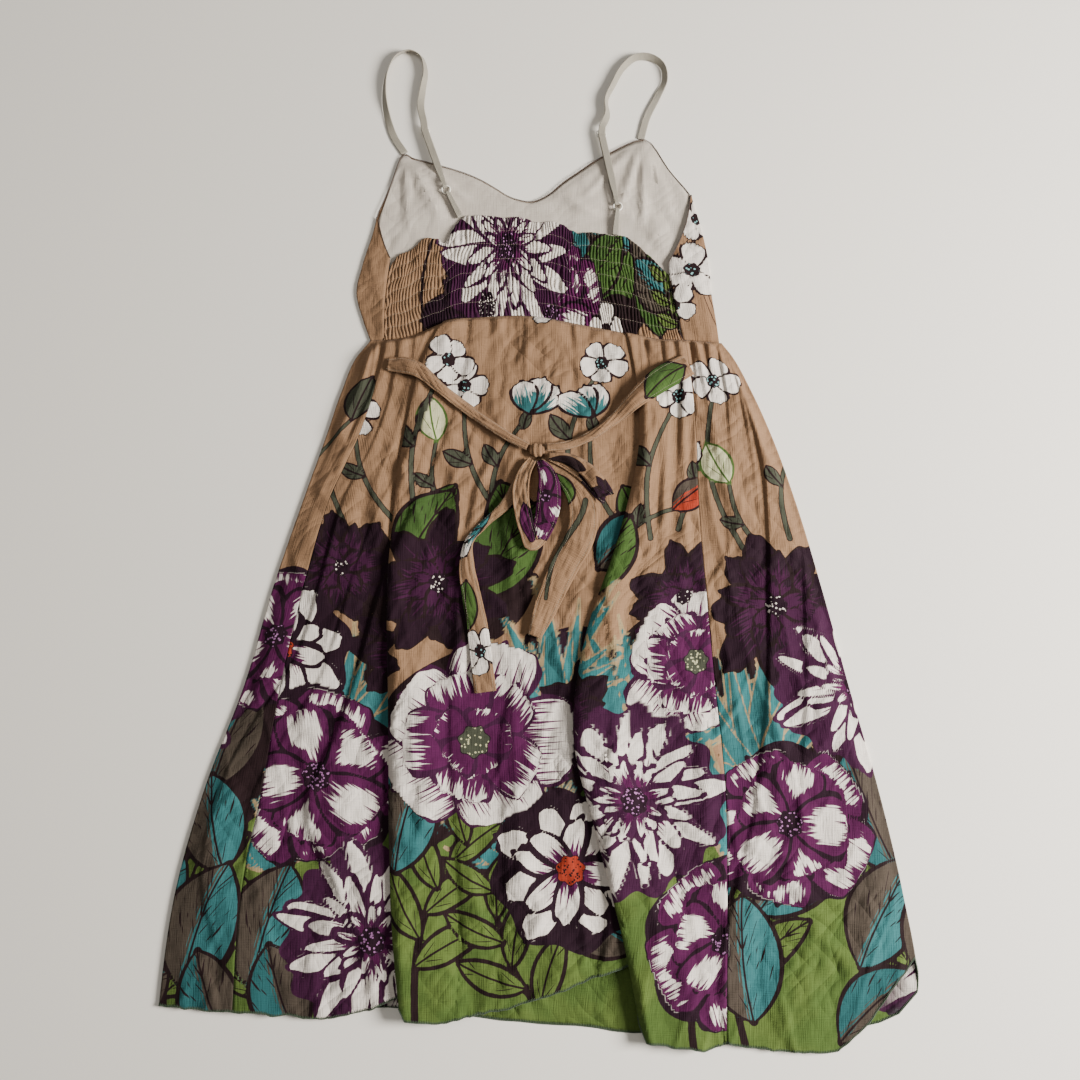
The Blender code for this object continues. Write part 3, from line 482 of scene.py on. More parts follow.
def shell_mesh(name, panel, wall=SHELL, outward=1, fields=None, proud=CLOTH / 2):
    """A closed shell, its outside proud of a panel's points. outward is -1 where the grid faces inwards."""
    normal = grid_normals(panel.points) * outward
    outer = panel.points + normal * proud
    inner = (outer - normal * wall)[::2, ::2]
    m, n = outer.shape[:2]
    cm, cn = inner.shape[:2]
    big = np.arange(m * n).reshape(m, n)
    small = m * n + np.arange(cm * cn).reshape(cm, cn)
    quads = np.stack([big[:-1, :-1], big[1:, :-1], big[1:, 1:], big[:-1, 1:]], axis=-1).reshape(-1, 4)
    back = np.stack([small[:-1, :-1], small[:-1, 1:], small[1:, 1:], small[1:, :-1]], axis=-1).reshape(-1, 4)
    faces = quads.tolist() + back.tolist()
    rims = (
        (big[:, 0], small[:, 0]),
        (big[-1, :], small[-1, :]),
        (big[::-1, -1], small[::-1, -1]),
        (big[0, ::-1], small[0, ::-1]),
    )
    for fine, rough in rims:
        for k in range(len(rough) - 1):
            a, b = int(rough[k]), int(rough[k + 1])
            p, q, r = (int(point) for point in fine[2 * k : 2 * k + 3])
            faces += [(q, p, a), (q, a, b), (r, q, b)]
    if outward < 0:
        faces = [face[::-1] for face in faces]
    mesh = smooth_mesh(name, np.concatenate([outer.reshape(-1, 3), inner.reshape(-1, 3)]), faces)
    lay_flat_places(mesh, both_sides(panel.flat))
    for field, values in (fields or {}).items():
        store_field(mesh, field, both_sides(values))
    return mesh


def both_sides(values):
    """A field on a panel's points, as one list for the outside and then the inside."""
    tail = values.shape[2:]
    return np.concatenate([values.reshape(-1, *tail), values[::2, ::2].reshape(-1, *tail)])


def store_field(mesh, name, values):
    """Keeps numbers, or triples of numbers, on the points of a mesh under a name that a material can read."""
    kind, key = ("FLOAT", "value") if values.ndim == 1 else ("FLOAT_VECTOR", "vector")
    layer = mesh.attributes.new(name, kind, "POINT").data
    layer.foreach_set(key, np.ascontiguousarray(values, np.float32).ravel())


def lay_flat_places(mesh, places):
    """A UV map called cloth, in metres of flat cloth, from the flat place of each point."""
    layer = mesh.uv_layers.new(name="cloth")
    corners = np.empty(len(mesh.loops), np.int32)
    mesh.loops.foreach_get("vertex_index", corners)
    layer.data.foreach_set("uv", (places * MM)[corners].astype(np.float32).ravel())


def linked(name, data):
    """A new object in the scene."""
    thing = bpy.data.objects.new(name, data)
    bpy.context.scene.collection.objects.link(thing)
    return thing


def riding(mesh):
    """A finished mesh as a piece that rides with the dress."""
    piece = linked(mesh.name, mesh)
    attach(piece, "root")
    mesh.calc_loop_triangles()
    print(mesh.name, len(mesh.loop_triangles), "triangles")
    return piece


def add_piece(mesh, material, node):
    """A piece with its material, which stands for one of the solids."""
    mesh.materials.append(material)
    riding(mesh)
    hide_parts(node)


# %% [markdown]
# ## The print, in layers
# The cloth is printed with garden flowers in a border: a tan ground with thin stems at the waist, big
# purple and white flowers in the middle, and leaves on green at the hem. The arrangement is this script's
# own. One plane of print serves every piece, as one bolt of cloth does, and each piece is cut from its own
# place on it. A shape is kept as a distance: how many millimetres a point lies inside its edge. Distances
# blend smoothly between points, so the shader can cut a sharp edge where they pass zero, on a mesh far
# coarser than the edge.

# %% Inks
Rgb = namedtuple("Rgb", "r g b")


def ink(code):
    """A screen colour such as 6B2A63 as the linear numbers that a shader needs."""
    shares = [int(code[k : k + 2], 16) / 255 for k in (0, 2, 4)]
    return Rgb(*(s / 12.92 if s <= 0.04045 else ((s + 0.055) / 1.055) ** 2.4 for s in shares))


TAN, GREEN, LEAF_GREEN, PALE_GREEN = ink("86674C"), ink("4F602A"), ink("3A5122"), ink("ADAA84")
TEAL, TEAL_PALE, PLUM, PURPLE = ink("2E6061"), ink("7FB0AE"), ink("1C0714"), ink("460F38")
WHITE, LINE_BROWN, SHADE_BROWN, OLIVE = ink("D3C9BE"), ink("1B0B0D"), ink("423930"), ink("3B3D30")
ORANGE, LILAC, DEEP_TEAL, DEEP_GREEN = ink("8C2D19"), ink("95648F"), ink("245253"), ink("33491F")
SAND, AUBERGINE, TEAL_BLUE = ink("8B7757"), ink("330D2A"), ink("2F6869")
print("tan", [round(c, 2) for c in TAN])

# %% One layer over another
PRINT_WIDE = 1000.0
NOWHERE = -9.0
BLEED = 2.2


def blade(x, y, length, half_width, base, tip):
    """Distance inside a leaf or petal that points along x from 0, fuller towards its tip as base grows."""
    t = np.clip(x / length, 0, 1)
    peak = base / (base + tip)
    full = peak**base * (1 - peak) ** tip
    return half_width * t**base * (1 - t) ** tip / full - np.hypot(y, x - t * length)


class Printed:
    """The print on one piece: each point's distance inside the shapes of each layer, and their inks."""

    def __init__(self, flat):
        self.u, self.v = flat[..., 0].ravel(), flat[..., 1].ravel()
        self.shape = flat.shape[:2]
        self.numbers, self.triples = {}, {}
        for layer in ("leaf", "petal", "heart"):
            for field in ("fill", "line"):
                self.numbers[f"{layer}_{field}"] = np.full(self.u.size, NOWHERE)
            for field in ("ink", "edge", "grain", "tip"):
                self.triples[f"{layer}_{field}"] = np.zeros((self.u.size, 3))
        self.numbers["ground"] = self.v + 235 + 70 * (soft_noise(self.u / 60.0, self.v / 60.0, 71) - 0.5)

    def near(self, u, v, reach, turn=0.0):
        """Points within reach of a place, and where they lie along and across a direction in degrees."""
        across = (self.u - u + PRINT_WIDE / 2) % PRINT_WIDE - PRINT_WIDE / 2
        up = self.v - v
        found = np.flatnonzero((np.abs(across) < reach) & (np.abs(up) < reach))
        c, s = math.cos(math.radians(turn)), math.sin(math.radians(turn))
        across, up = across[found], up[found]
        return found, across * c + up * s, up * c - across * s

    def paint(self, layer, found, inside, line, colour, edge, grain=None, tip=None):
        """Lays one shape over those already in its layer, with a drawn line of its own width round it."""
        fill, drawn = self.numbers[f"{layer}_fill"], self.numbers[f"{layer}_line"]
        grown = inside + line
        fill[found] = np.maximum(np.minimum(fill[found], -grown), inside)
        drawn[found] = np.maximum(drawn[found], grown)
        here = inside > -BLEED
        self.triples[f"{layer}_ink"][found[here]] = colour
        self.triples[f"{layer}_tip"][found[here]] = colour if tip is None else tip
        if grain is not None:
            self.triples[f"{layer}_grain"][found[here]] = stacked(*grain)[here]
        self.triples[f"{layer}_edge"][found[grown > -BLEED]] = edge

    def fields(self):
        every = {name: values.reshape(self.shape) for name, values in self.numbers.items()}
        every.update({name: values.reshape(*self.shape, 3) for name, values in self.triples.items()})
        return every


# %% Leaves, stems and sprays
def draw_leaf(cloth, motif, length=None, slim=0.30, line=4.6):
    """One leaf. The shader draws its midrib and side strokes from the places along and across it."""
    length = length or motif.size
    found, x, y = cloth.near(motif.u, motif.v, length + 8, motif.turn)
    y = y - 0.16 * x * (1 - x / length)
    inside = blade(x, y, length, slim * length, 0.8, 0.85)
    colour, second, edge = LEAF_INKS[motif.colour]
    cloth.paint("leaf", found, inside, min(line, 0.06 * length), colour, edge, (x, y, 1.0), second)


def moved(motif, along, aside=0.0, **changes):
    """A motif moved along and across its own direction."""
    c, s = math.cos(math.radians(motif.turn)), math.sin(math.radians(motif.turn))
    return motif._replace(u=motif.u + along * c - aside * s, v=motif.v + along * s + aside * c, **changes)


STEM_BOW = 0.12


def draw_stem(cloth, motif, width=1.8):
    """A thin bowed stem."""
    found, x, y = cloth.near(motif.u, motif.v, motif.size + 10, motif.turn)
    t = np.clip(x / motif.size, 0, 1)
    bow = STEM_BOW * motif.size * np.sin(math.pi * t)
    inside = width * (1.25 - 0.4 * t) - np.hypot((y - bow) * 0.92, x - t * motif.size)
    colour = LEAF_INKS[motif.colour][0]
    cloth.paint("leaf", found, inside, 0.8, colour, LINE_BROWN)


def draw_sprig(cloth, motif):
    """A thin stem with a side bud, and the flower or leaf that its colour names at its end."""
    draw_stem(cloth, motif._replace(colour="olive"))
    bud = moved(motif, 0.5 * motif.size, STEM_BOW * motif.size, colour="olive", turn=motif.turn + 48)
    draw_leaf(cloth, bud, 0.12 * motif.size + 12, 0.26)
    end = moved(motif, motif.size)
    if motif.colour in BLOOMS:
        draw_leaf(cloth, moved(end, -15, colour="olive"), 22, 0.26)
        reach = 40 if motif.colour == "bell" else 27
        draw_flower(cloth, moved(end, 4, kind=motif.colour, size=reach, turn=motif.turn - 34))
    else:
        draw_leaf(cloth, end, 46, 0.32)


def draw_branch(cloth, motif):
    """A dark stem with leaves in pairs, drawn as outlines on the ground."""
    draw_stem(cloth, motif._replace(colour="dark"), 2.2)
    for number in range(6):
        share = 0.26 + 0.13 * number
        side = 1 if number % 2 else -1
        bow = STEM_BOW * motif.size * math.sin(math.pi * share)
        leaf = moved(motif, share * motif.size, bow, turn=motif.turn + side * (52 - 24 * share))
        draw_leaf(cloth, leaf, motif.size * (0.42 - 0.12 * share), 0.18, 4.0)


def draw_spray(cloth, motif):
    """A fan of narrow leaves from one point, as of a fern or a palm."""
    dice = np.random.default_rng(int(abs(motif.u) * 7 + abs(motif.v)))
    colour, second, edge = LEAF_INKS[motif.colour]
    for number in range(21):
        share = (number * 8 % 21) / 20
        turn = motif.turn + 124 * (share - 0.5) + dice.uniform(-4, 4)
        length = motif.size * (1 - 0.45 * abs(2 * share - 1) ** 1.6) * dice.uniform(0.62, 1.10)
        found, x, y = cloth.near(motif.u, motif.v, length + 6, turn)
        y = y - 5 * np.sin(x / 30.0)
        inside = blade(x, y, length, 0.046 * length + 2.6, 0.55, 1.45)
        shade = second if number % 3 == 0 else colour
        cloth.paint("leaf", found, inside, 1.9, shade, edge, (x, y, 0 * x), shade)


LEAF_INKS = {
    "teal": (TEAL, SHADE_BROWN, LINE_BROWN), "brown": (SHADE_BROWN, DEEP_TEAL, LINE_BROWN),
    "green": (LEAF_GREEN, DEEP_GREEN, LINE_BROWN), "pale": (PALE_GREEN, PALE_GREEN, LEAF_GREEN),
    "olive": (OLIVE, OLIVE, LINE_BROWN), "outline": (GREEN, GREEN, LINE_BROWN), "tan": (TAN, TAN, LINE_BROWN),
    "fern": (TEAL, TEAL_BLUE, SAND), "grass": (LEAF_GREEN, DEEP_GREEN, DEEP_GREEN),
    "rust": (ORANGE, SHADE_BROWN, LINE_BROWN), "plum": (PURPLE, PLUM, PLUM),
    "dark": (LINE_BROWN, LINE_BROWN, LINE_BROWN),
}


# %% Flowers
Bloom = namedtuple("Bloom", "petals rings spread slim base tip line inks start backing heart heart_inks")
BLOOMS = {
    "cosmos": Bloom(5, 2, 360, 0.46, 0.8, 0.26, 4.2, (WHITE, PURPLE, PLUM), 2.92,
                    (0.9, PLUM), 0.14, (PLUM, LILAC)),
    "daisy": Bloom(14, 3, 360, 0.098, 0.7, 0.60, 3.8, (PURPLE, WHITE, AUBERGINE), 0.24,
                   (0.92, AUBERGINE), 0.13, (PLUM, LILAC)),
    "dahlia": Bloom(9, 3, 360, 0.19, 0.8, 0.6, 2.6, (AUBERGINE, PLUM, LINE_BROWN), 0.45,
                    (0.6, PLUM), 0.12, (PLUM, WHITE)),
    "rose": Bloom(5, 3, 360, 0.44, 0.75, 0.26, 4.4, (PURPLE, WHITE, AUBERGINE), 0.66,
                  (0.6, LILAC), 0.15, (OLIVE, PALE_GREEN)),
    "aster": Bloom(8, 2, 360, 0.19, 0.8, 0.50, 5.4, (PURPLE, WHITE, PLUM), 0.26,
                   (0.96, PLUM), 0.17, (ORANGE, LINE_BROWN)),
    "blossom": Bloom(5, 1, 360, 0.37, 0.9, 0.3, 3.6, (WHITE, WHITE, LINE_BROWN), 1.2,
                     (0.3, LINE_BROWN), 0.24, (LINE_BROWN, TEAL_PALE)),
    "bell": Bloom(3, 1, 100, 0.30, 0.9, 0.5, 3.2, (TEAL, WHITE, LINE_BROWN), 0.62, None, 0.0, (TEAL, WHITE)),
}


def draw_flower(cloth, motif):
    """Rings of petals, the outer one first, and a heart. Streaks along the petals come from the shader."""
    kind = BLOOMS[motif.kind]
    dice = np.random.default_rng(int(abs(motif.u) * 5 + abs(motif.v) * 3 + motif.size))
    base_ink, tip_ink, edge = kind.inks
    if kind.backing:
        share, colour = kind.backing
        found, x, y = cloth.near(motif.u, motif.v, motif.size + 6)
        disc = share * motif.size * (1 + 0.06 * np.sin(kind.petals * np.arctan2(y, x))) - np.hypot(x, y)
        cloth.paint("petal", found, disc, 1.0, colour, edge, (0 * x, 0, 0), colour)
    for ring in range(kind.rings):
        reach = motif.size * (1 - 0.30 * ring)
        order = [(k * 3) % kind.petals if kind.petals % 3 else k for k in range(kind.petals)]
        for number in order:
            turn = motif.turn + kind.spread * (number + 0.5 * ring) / kind.petals + dice.uniform(-6, 6)
            length = reach * dice.uniform(0.80, 1.06)
            found, x, y = cloth.near(motif.u, motif.v, length * 1.15 + 6, turn)
            y = y - dice.uniform(-0.16, 0.16) * x * (x / length)
            inside = blade(x, y, length, kind.slim * reach * dice.uniform(0.86, 1.08), kind.base, kind.tip)
            frill = np.sin(y * 40.0 / motif.size + 9 * number) * np.clip(x / length, 0, 1)
            inside = inside + 0.02 * motif.size * frill
            start = kind.start + (0.2 * ring if kind.start < 1 else 0)
            grain = (x / length, y + 40.0 * number + 11.0 * ring, start)
            line = min(kind.line, 0.09 * motif.size)
            cloth.paint("petal", found, inside, line, base_ink, edge, grain, tip_ink)
    if kind.heart:
        found, x, y = cloth.near(motif.u, motif.v, motif.size * 0.6 + 4)
        disc = kind.heart * motif.size * (1 + 0.10 * np.sin(7 * np.arctan2(y, x))) - np.hypot(x, y)
        cloth.paint("heart", found, disc, 1.0, kind.heart_inks[0], PLUM, (x, y, 1.0), kind.heart_inks[1])


# %% Where each motif is printed
Motif = namedtuple("Motif", "kind u v size turn colour", defaults=("",))
DRAWERS = {
    "leaf": draw_leaf, "stem": draw_stem, "sprig": draw_sprig, "branch": draw_branch, "spray": draw_spray,
}
YOKE, SASH, SASH_APART = 1000.0, 2000.0, 60.0


def row(kind, *places):
    """Motifs of one kind, from their places u, v, size and turn, and the colours of all but flowers."""
    return [Motif(kind, *place) for place in places]


BORDER = (
    *row("sprig", (-30, 10, 158, 108, "blossom"), (-50, 16, 120, 72, "bell"),
         (36, 20, 168, 80, "blossom"), (84, 10, 120, 104, "bell"), (150, 0, 150, 84, "blossom"),
         (178, 10, 100, 60, "pale"), (-92, 10, 96, 100, "pale"), (-124, 0, 190, 82, "blossom"),
         (-196, 6, 130, 104, "blossom"), (-252, 10, 178, 86, "blossom"), (-300, 0, 120, 112, "olive"),
         (240, -20, 170, 92, "blossom"), (272, -10, 90, 70, "bell"), (372, -10, 176, 96, "blossom"),
         (420, 0, 110, 80, "bell"), (404, -20, 90, 118, "pale"), (-460, -20, 150, 80, "olive"),
         (110, -20, 80, 40, "rust")),
    *row("leaf", (112, 10, 52, 120, "green"), (-110, 18, 44, 60, "green"), (-140, -34, 96, 60, "green"),
         (-190, -100, 96, 104, "green"), (60, -30, 80, 42, "brown"), (96, -60, 86, 70, "green"),
         (-10, -20, 84, 112, "green"), (-250, -80, 96, 74, "dark"), (320, -130, 100, 118, "dark"),
         (-210, -180, 110, 96, "dark"), (-150, -240, 120, 20, "dark"), (-110, -100, 120, 30, "dark"),
         (-60, -60, 110, 60, "green"), (-20, -150, 120, 14, "plum"), (-346, -180, 110, 60, "dark"),
         (420, -110, 110, 20, "dark"), (40, -240, 110, 20, "dark"), (230, -150, 96, 130, "dark"),
         (-330, -250, 190, 52, "dark"), (-240, -290, 170, 92, "dark"), (-130, -310, 210, 70, "dark"),
         (10, -300, 200, 96, "dark"), (96, -290, 190, 74, "dark"), (190, -270, 190, 98, "dark"),
         (330, -300, 190, 82, "dark"), (440, -300, 180, 96, "dark"), (-470, -300, 190, 70, "dark"),
         (520, -300, 170, 110, "dark")),
    *row("spray", (172, -250, 200, 96, "fern"), (-286, -246, 180, 78, "fern"),
         (-352, -330, 190, 80, "fern"), (-6, -336, 170, 104, "fern"), (262, -330, 190, 66, "fern"),
         (500, -210, 150, 100, "fern"), (60, -330, 110, 60, "grass"), (-160, -330, 150, 92, "fern"),
         (-300, -400, 130, 30, "grass")),
    *row("branch", (-120, -470, 190, 72, "outline"), (36, -492, 180, 118, "outline"),
         (350, -500, 240, 84, "outline"), (-330, -500, 150, 100, "outline"),
         (230, -500, 150, 80, "outline"), (-480, -500, 200, 80, "outline")),
    *row("leaf", (-142, -330, 100, 76, "teal"), (-366, -440, 120, 72, "teal"),
         (-322, -486, 90, 108, "brown"), (258, -250, 110, 44, "teal"), (272, -400, 120, 62, "teal"),
         (100, -400, 96, 150, "teal"), (340, -260, 130, 66, "brown"), (424, -286, 118, 30, "teal"),
         (500, -330, 124, 112, "brown"), (360, -370, 124, 44, "teal"), (460, -420, 116, 60, "teal"),
         (356, -470, 116, 96, "teal"), (440, -488, 96, 40, "brown"), (-470, -250, 104, 76, "brown"),
         (-440, -330, 96, 110, "teal"), (-470, -440, 120, 74, "teal"), (-424, -490, 90, 112, "brown")),
    *row("dahlia", (-104, -46, 76, 10), (66, -190, 82, 30), (400, -70, 82, 20), (-262, -30, 66, 40),
         (196, -60, 60, 0), (-200, -120, 64, 20)),
    *row("spray", (34, -200, 178, 82, "fern"), (372, -250, 196, 104, "fern")),
    *row("rose", (-66, -206, 98, 4)),
    *row("aster", (-330, -112, 72, 8)),
    *row("rose", (214, -126, 78, 12)),
    *row("daisy", (470, -150, 84, 40)),
    *row("cosmos", (392, -286, 84, 40), (-300, -240, 94, 0)),
    *row("daisy", (150, -264, 98, 24), (-250, -396, 92, 48)),
    *row("cosmos", (250, -396, 84, 66)),
    *row("aster", (30, -330, 78, 20)),
    *row("cosmos", (-436, -100, 74, 20)),
)
BODICE_PRINT = (
    *row("stem", (20, 240, 120, 74, "tan"), (52, 236, 90, 88, "tan")),
    *row("blossom", (34, 296, 30, 10), (10, 256, 24, 40), (44, 356, 24, 20)),
    *row("leaf", (60, 250, 44, 70, "olive")),
)
YOKE_PRINT = (
    *row("leaf", (310, 8, 140, 114, "green"), (262, 76, 110, 80, "brown"), (226, 4, 130, 96, "green"),
         (196, 56, 118, 124, "brown"), (250, 40, 90, 144, "teal"), (140, 12, 120, 84, "green"),
         (112, 84, 110, 110, "brown"), (60, 104, 96, 140, "dark"), (170, 110, 80, 160, "teal")),
    *row("branch", (290, -14, 110, 120, "outline")),
    *row("leaf", (190, 20, 84, 170, "dark"), (90, 50, 100, 50, "green")),
    *row("dahlia", (-100, 40, 128, 180)),
    *row("cosmos", (22, 28, 104, 160)),
    *row("daisy", (-62, 110, 128, 172)),
    *row("blossom", (124, 10, 36, 160)),
    *row("stem", (-214, 0, 130, 84, "dark")),
)
SASH_PRINT = (
    *row("leaf", (6, 60, 54, -8, "green")),
    *row("cosmos", (40, 124, 44, 0)),
    *row("leaf", (96, 124, 40, 0, "plum")),
    *row("dahlia", (66, 176, 30, 0)),
    *row("leaf", (110, 182, 40, 10, "dark")),
    *row("bell", (84, 236, 42, 20)),
    *row("leaf", (150, 244, 50, 12, "green")),
    *row("blossom", (222, 240, 26, 0)),
    *row("stem", (60, 296, 110, 4, "olive")),
    *row("leaf", (20, 306, 44, 20, "green")),
)


PRINT = [
    motif._replace(v=origin + motif.v)
    for origin, motifs in ((0, BORDER), (0, BODICE_PRINT), (YOKE, YOKE_PRINT), (SASH, SASH_PRINT))
    for motif in motifs
]


def printed(flat):
    """The whole print at the flat places of one piece."""
    cloth = Printed(flat)
    for motif in PRINT:
        DRAWERS.get(motif.kind, draw_flower)(cloth, motif)
    return cloth.fields()


print(len(PRINT), "motifs on the plane of print")

# %% [markdown]
# ## Sums on sockets
# A material is a chain of sums. One small class wraps a socket, so that an expression such as 1 - mask
# adds the Math nodes by itself, and one method adds every other kind of node.


# %% Node helpers
class Value:
    """A socket that holds a number, which Python can do sums with."""

    def __init__(self, nodes, socket):
        self.nodes, self.socket = nodes, socket

    def sum(self, operation, *others):
        terms = dict(enumerate((self, *others)))
        return Value(self.nodes, self.nodes.out("ShaderNodeMath", {"operation": operation}, terms))

    def __add__(self, other):
        return self.sum("ADD", other)

    def __sub__(self, other):
        return self.sum("SUBTRACT", other)

    def __mul__(self, other):
        return self.sum("MULTIPLY", other)

    def __rsub__(self, other):
        terms = {0: other, 1: self}
        return Value(self.nodes, self.nodes.out("ShaderNodeMath", {"operation": "SUBTRACT"}, terms))

    __radd__ = __add__
    __rmul__ = __mul__

    def size(self):
        return self.sum("ABSOLUTE")

    def within(self, low, high):
        """0 at low and 1 at high, with a soft step between."""
        soft = {"interpolation_type": "SMOOTHSTEP"}
        sockets = {"Value": self, "From Min": low, "From Max": high}
        return Value(self.nodes, self.nodes.out("ShaderNodeMapRange", soft, sockets))


def opaque(colour):
    """A colour as a socket takes it: an ink with its alpha, or another socket as it is."""
    return (*colour, 1) if isinstance(colour, tuple) else colour


class Nodes:
    """The node tree of one material or one set of Geometry Nodes."""

    def __init__(self, tree):
        self.tree = tree
        tree.nodes.clear()

    def add(self, kind, settings=None, sockets=None):
        node = self.tree.nodes.new(kind)
        for name, value in (settings or {}).items():
            setattr(node, name, value)
        for key, value in (sockets or {}).items():
            value = getattr(value, "socket", value)
            if isinstance(value, bpy.types.NodeSocket):
                self.tree.links.new(value, node.inputs[key])
            else:
                node.inputs[key].default_value = value
        return node

    def out(self, kind, settings=None, sockets=None):
        """The first socket that a new node gives out."""
        return self.add(kind, settings, sockets).outputs[0]

    def cloth(self):
        """Flat places on the cloth, in metres."""
        return self.out("ShaderNodeUVMap", {"uv_map": "cloth"})

    def place(self):
        """Places on the piece itself."""
        return self.add("ShaderNodeTexCoord").outputs["Object"]

    def number(self, name):
        return Value(self, self.add("ShaderNodeAttribute", {"attribute_name": name}).outputs["Fac"])

    def triple(self, name):
        return self.add("ShaderNodeAttribute", {"attribute_name": name}).outputs["Vector"]

    def parts(self, vector):
        node = self.add("ShaderNodeSeparateXYZ", sockets={0: vector})
        return [Value(self, socket) for socket in node.outputs]

    def vector(self, x, y, z=0.0):
        return self.out("ShaderNodeCombineXYZ", sockets={0: x, 1: y, 2: z})

    def scaled(self, vector, by):
        return self.out("ShaderNodeVectorMath", {"operation": "MULTIPLY"}, {0: vector, 1: by})

    def noise(self, vector, scale, detail=2.0):
        sockets = {"Vector": vector, "Scale": scale, "Detail": detail}
        return Value(self, self.out("ShaderNodeTexNoise", sockets=sockets))

    def mix(self, amount, under, over, blend="MIX"):
        """The colour over on top of the colour under, by an amount from 0 to 1."""
        settings = {"data_type": "RGBA", "blend_type": blend}
        return self.add("ShaderNodeMix", settings, {0: amount, 6: opaque(under), 7: opaque(over)}).outputs[2]

    def toned(self, colour, tone):
        """A colour made lighter and darker by the threads of the cloth."""
        return self.mix(1.0, colour, self.vector(tone, tone, tone), "MULTIPLY")

    def finish(self, colour, roughness, bump=None, lift=0.001, **fixed):
        """The surface itself: what varies is linked, and what is the same all over is set on its socket."""
        sockets = {"Base Color": opaque(colour), "Roughness": roughness}
        sockets.update({name.replace("_", " "): value for name, value in fixed.items()})
        if bump is not None:
            sockets["Normal"] = self.out("ShaderNodeBump", sockets={"Height": bump, "Distance": lift})
        shader = self.out("ShaderNodeBsdfPrincipled", sockets=sockets)
        self.add("ShaderNodeOutputMaterial", sockets={"Surface": shader})


def new_material(name):
    material = bpy.data.materials.new(name)
    material.use_nodes = True
    return material, Nodes(material.node_tree)


# %% [markdown]
# ## Printed voile
# The shader stacks the print as the printer's screens do: ground, leaves with their veins, petals with
# streaks of a second ink, and hearts. A little noise on the distances gives the edges the wobble of a
# hand-drawn line. The weave is finer than the picture can show, so slubs and soft crinkles stand for it,
# in colour, roughness and bump.

# %% Weave shared by the cottons
Crumple = namedtuple("Crumple", "per_metre stretch lean depth")
CRUMPLES = (
    Crumple(20.0, 0.24, 0.12, 1.4), Crumple(30.0, 0.34, -0.45, 1.1), Crumple(38.0, 0.42, 0.62, 0.9),
    Crumple(9.0, 3.4, 0.20, 0.8), Crumple(62.0, 0.6, -0.80, 0.6),
)
SLUBS_DOWN, SLUBS_ACROSS = (900.0, 45.0, 1.0), (60.0, 1000.0, 1.0)
VOILE_RELIEF, LINING_RELIEF = 0.0066, 0.0026


def cotton(nodes):
    """Slub threads both ways and crumple lines: the flat places, and the tone and the relief there."""
    flat = nodes.cloth()
    down = nodes.noise(nodes.scaled(flat, SLUBS_DOWN), 1.0)
    across = nodes.noise(nodes.scaled(flat, SLUBS_ACROSS), 1.0)
    across_cloth, down_cloth, _ = nodes.parts(flat)
    worn = 0.35 + 0.65 * nodes.noise(flat, 9.0, 1.0).within(0.40, 0.60)
    bent = 0.9 * nodes.noise(flat, 17.0, 1.0)
    relief = 0.10 * down + 0.10 * across
    for crumple in CRUMPLES:
        sideways = (across_cloth + crumple.lean * down_cloth) * crumple.per_metre + bent
        place = nodes.vector(sideways, down_cloth * (crumple.per_metre * crumple.stretch) - bent)
        line = (nodes.noise(place, 1.0, 0.0) - 0.5).size()
        relief = relief + crumple.depth * worn * line
    tone = 0.74 + 0.24 * down + 0.24 * across
    return flat, tone, relief


# %% The printed material
SOFT_EDGE = 0.35


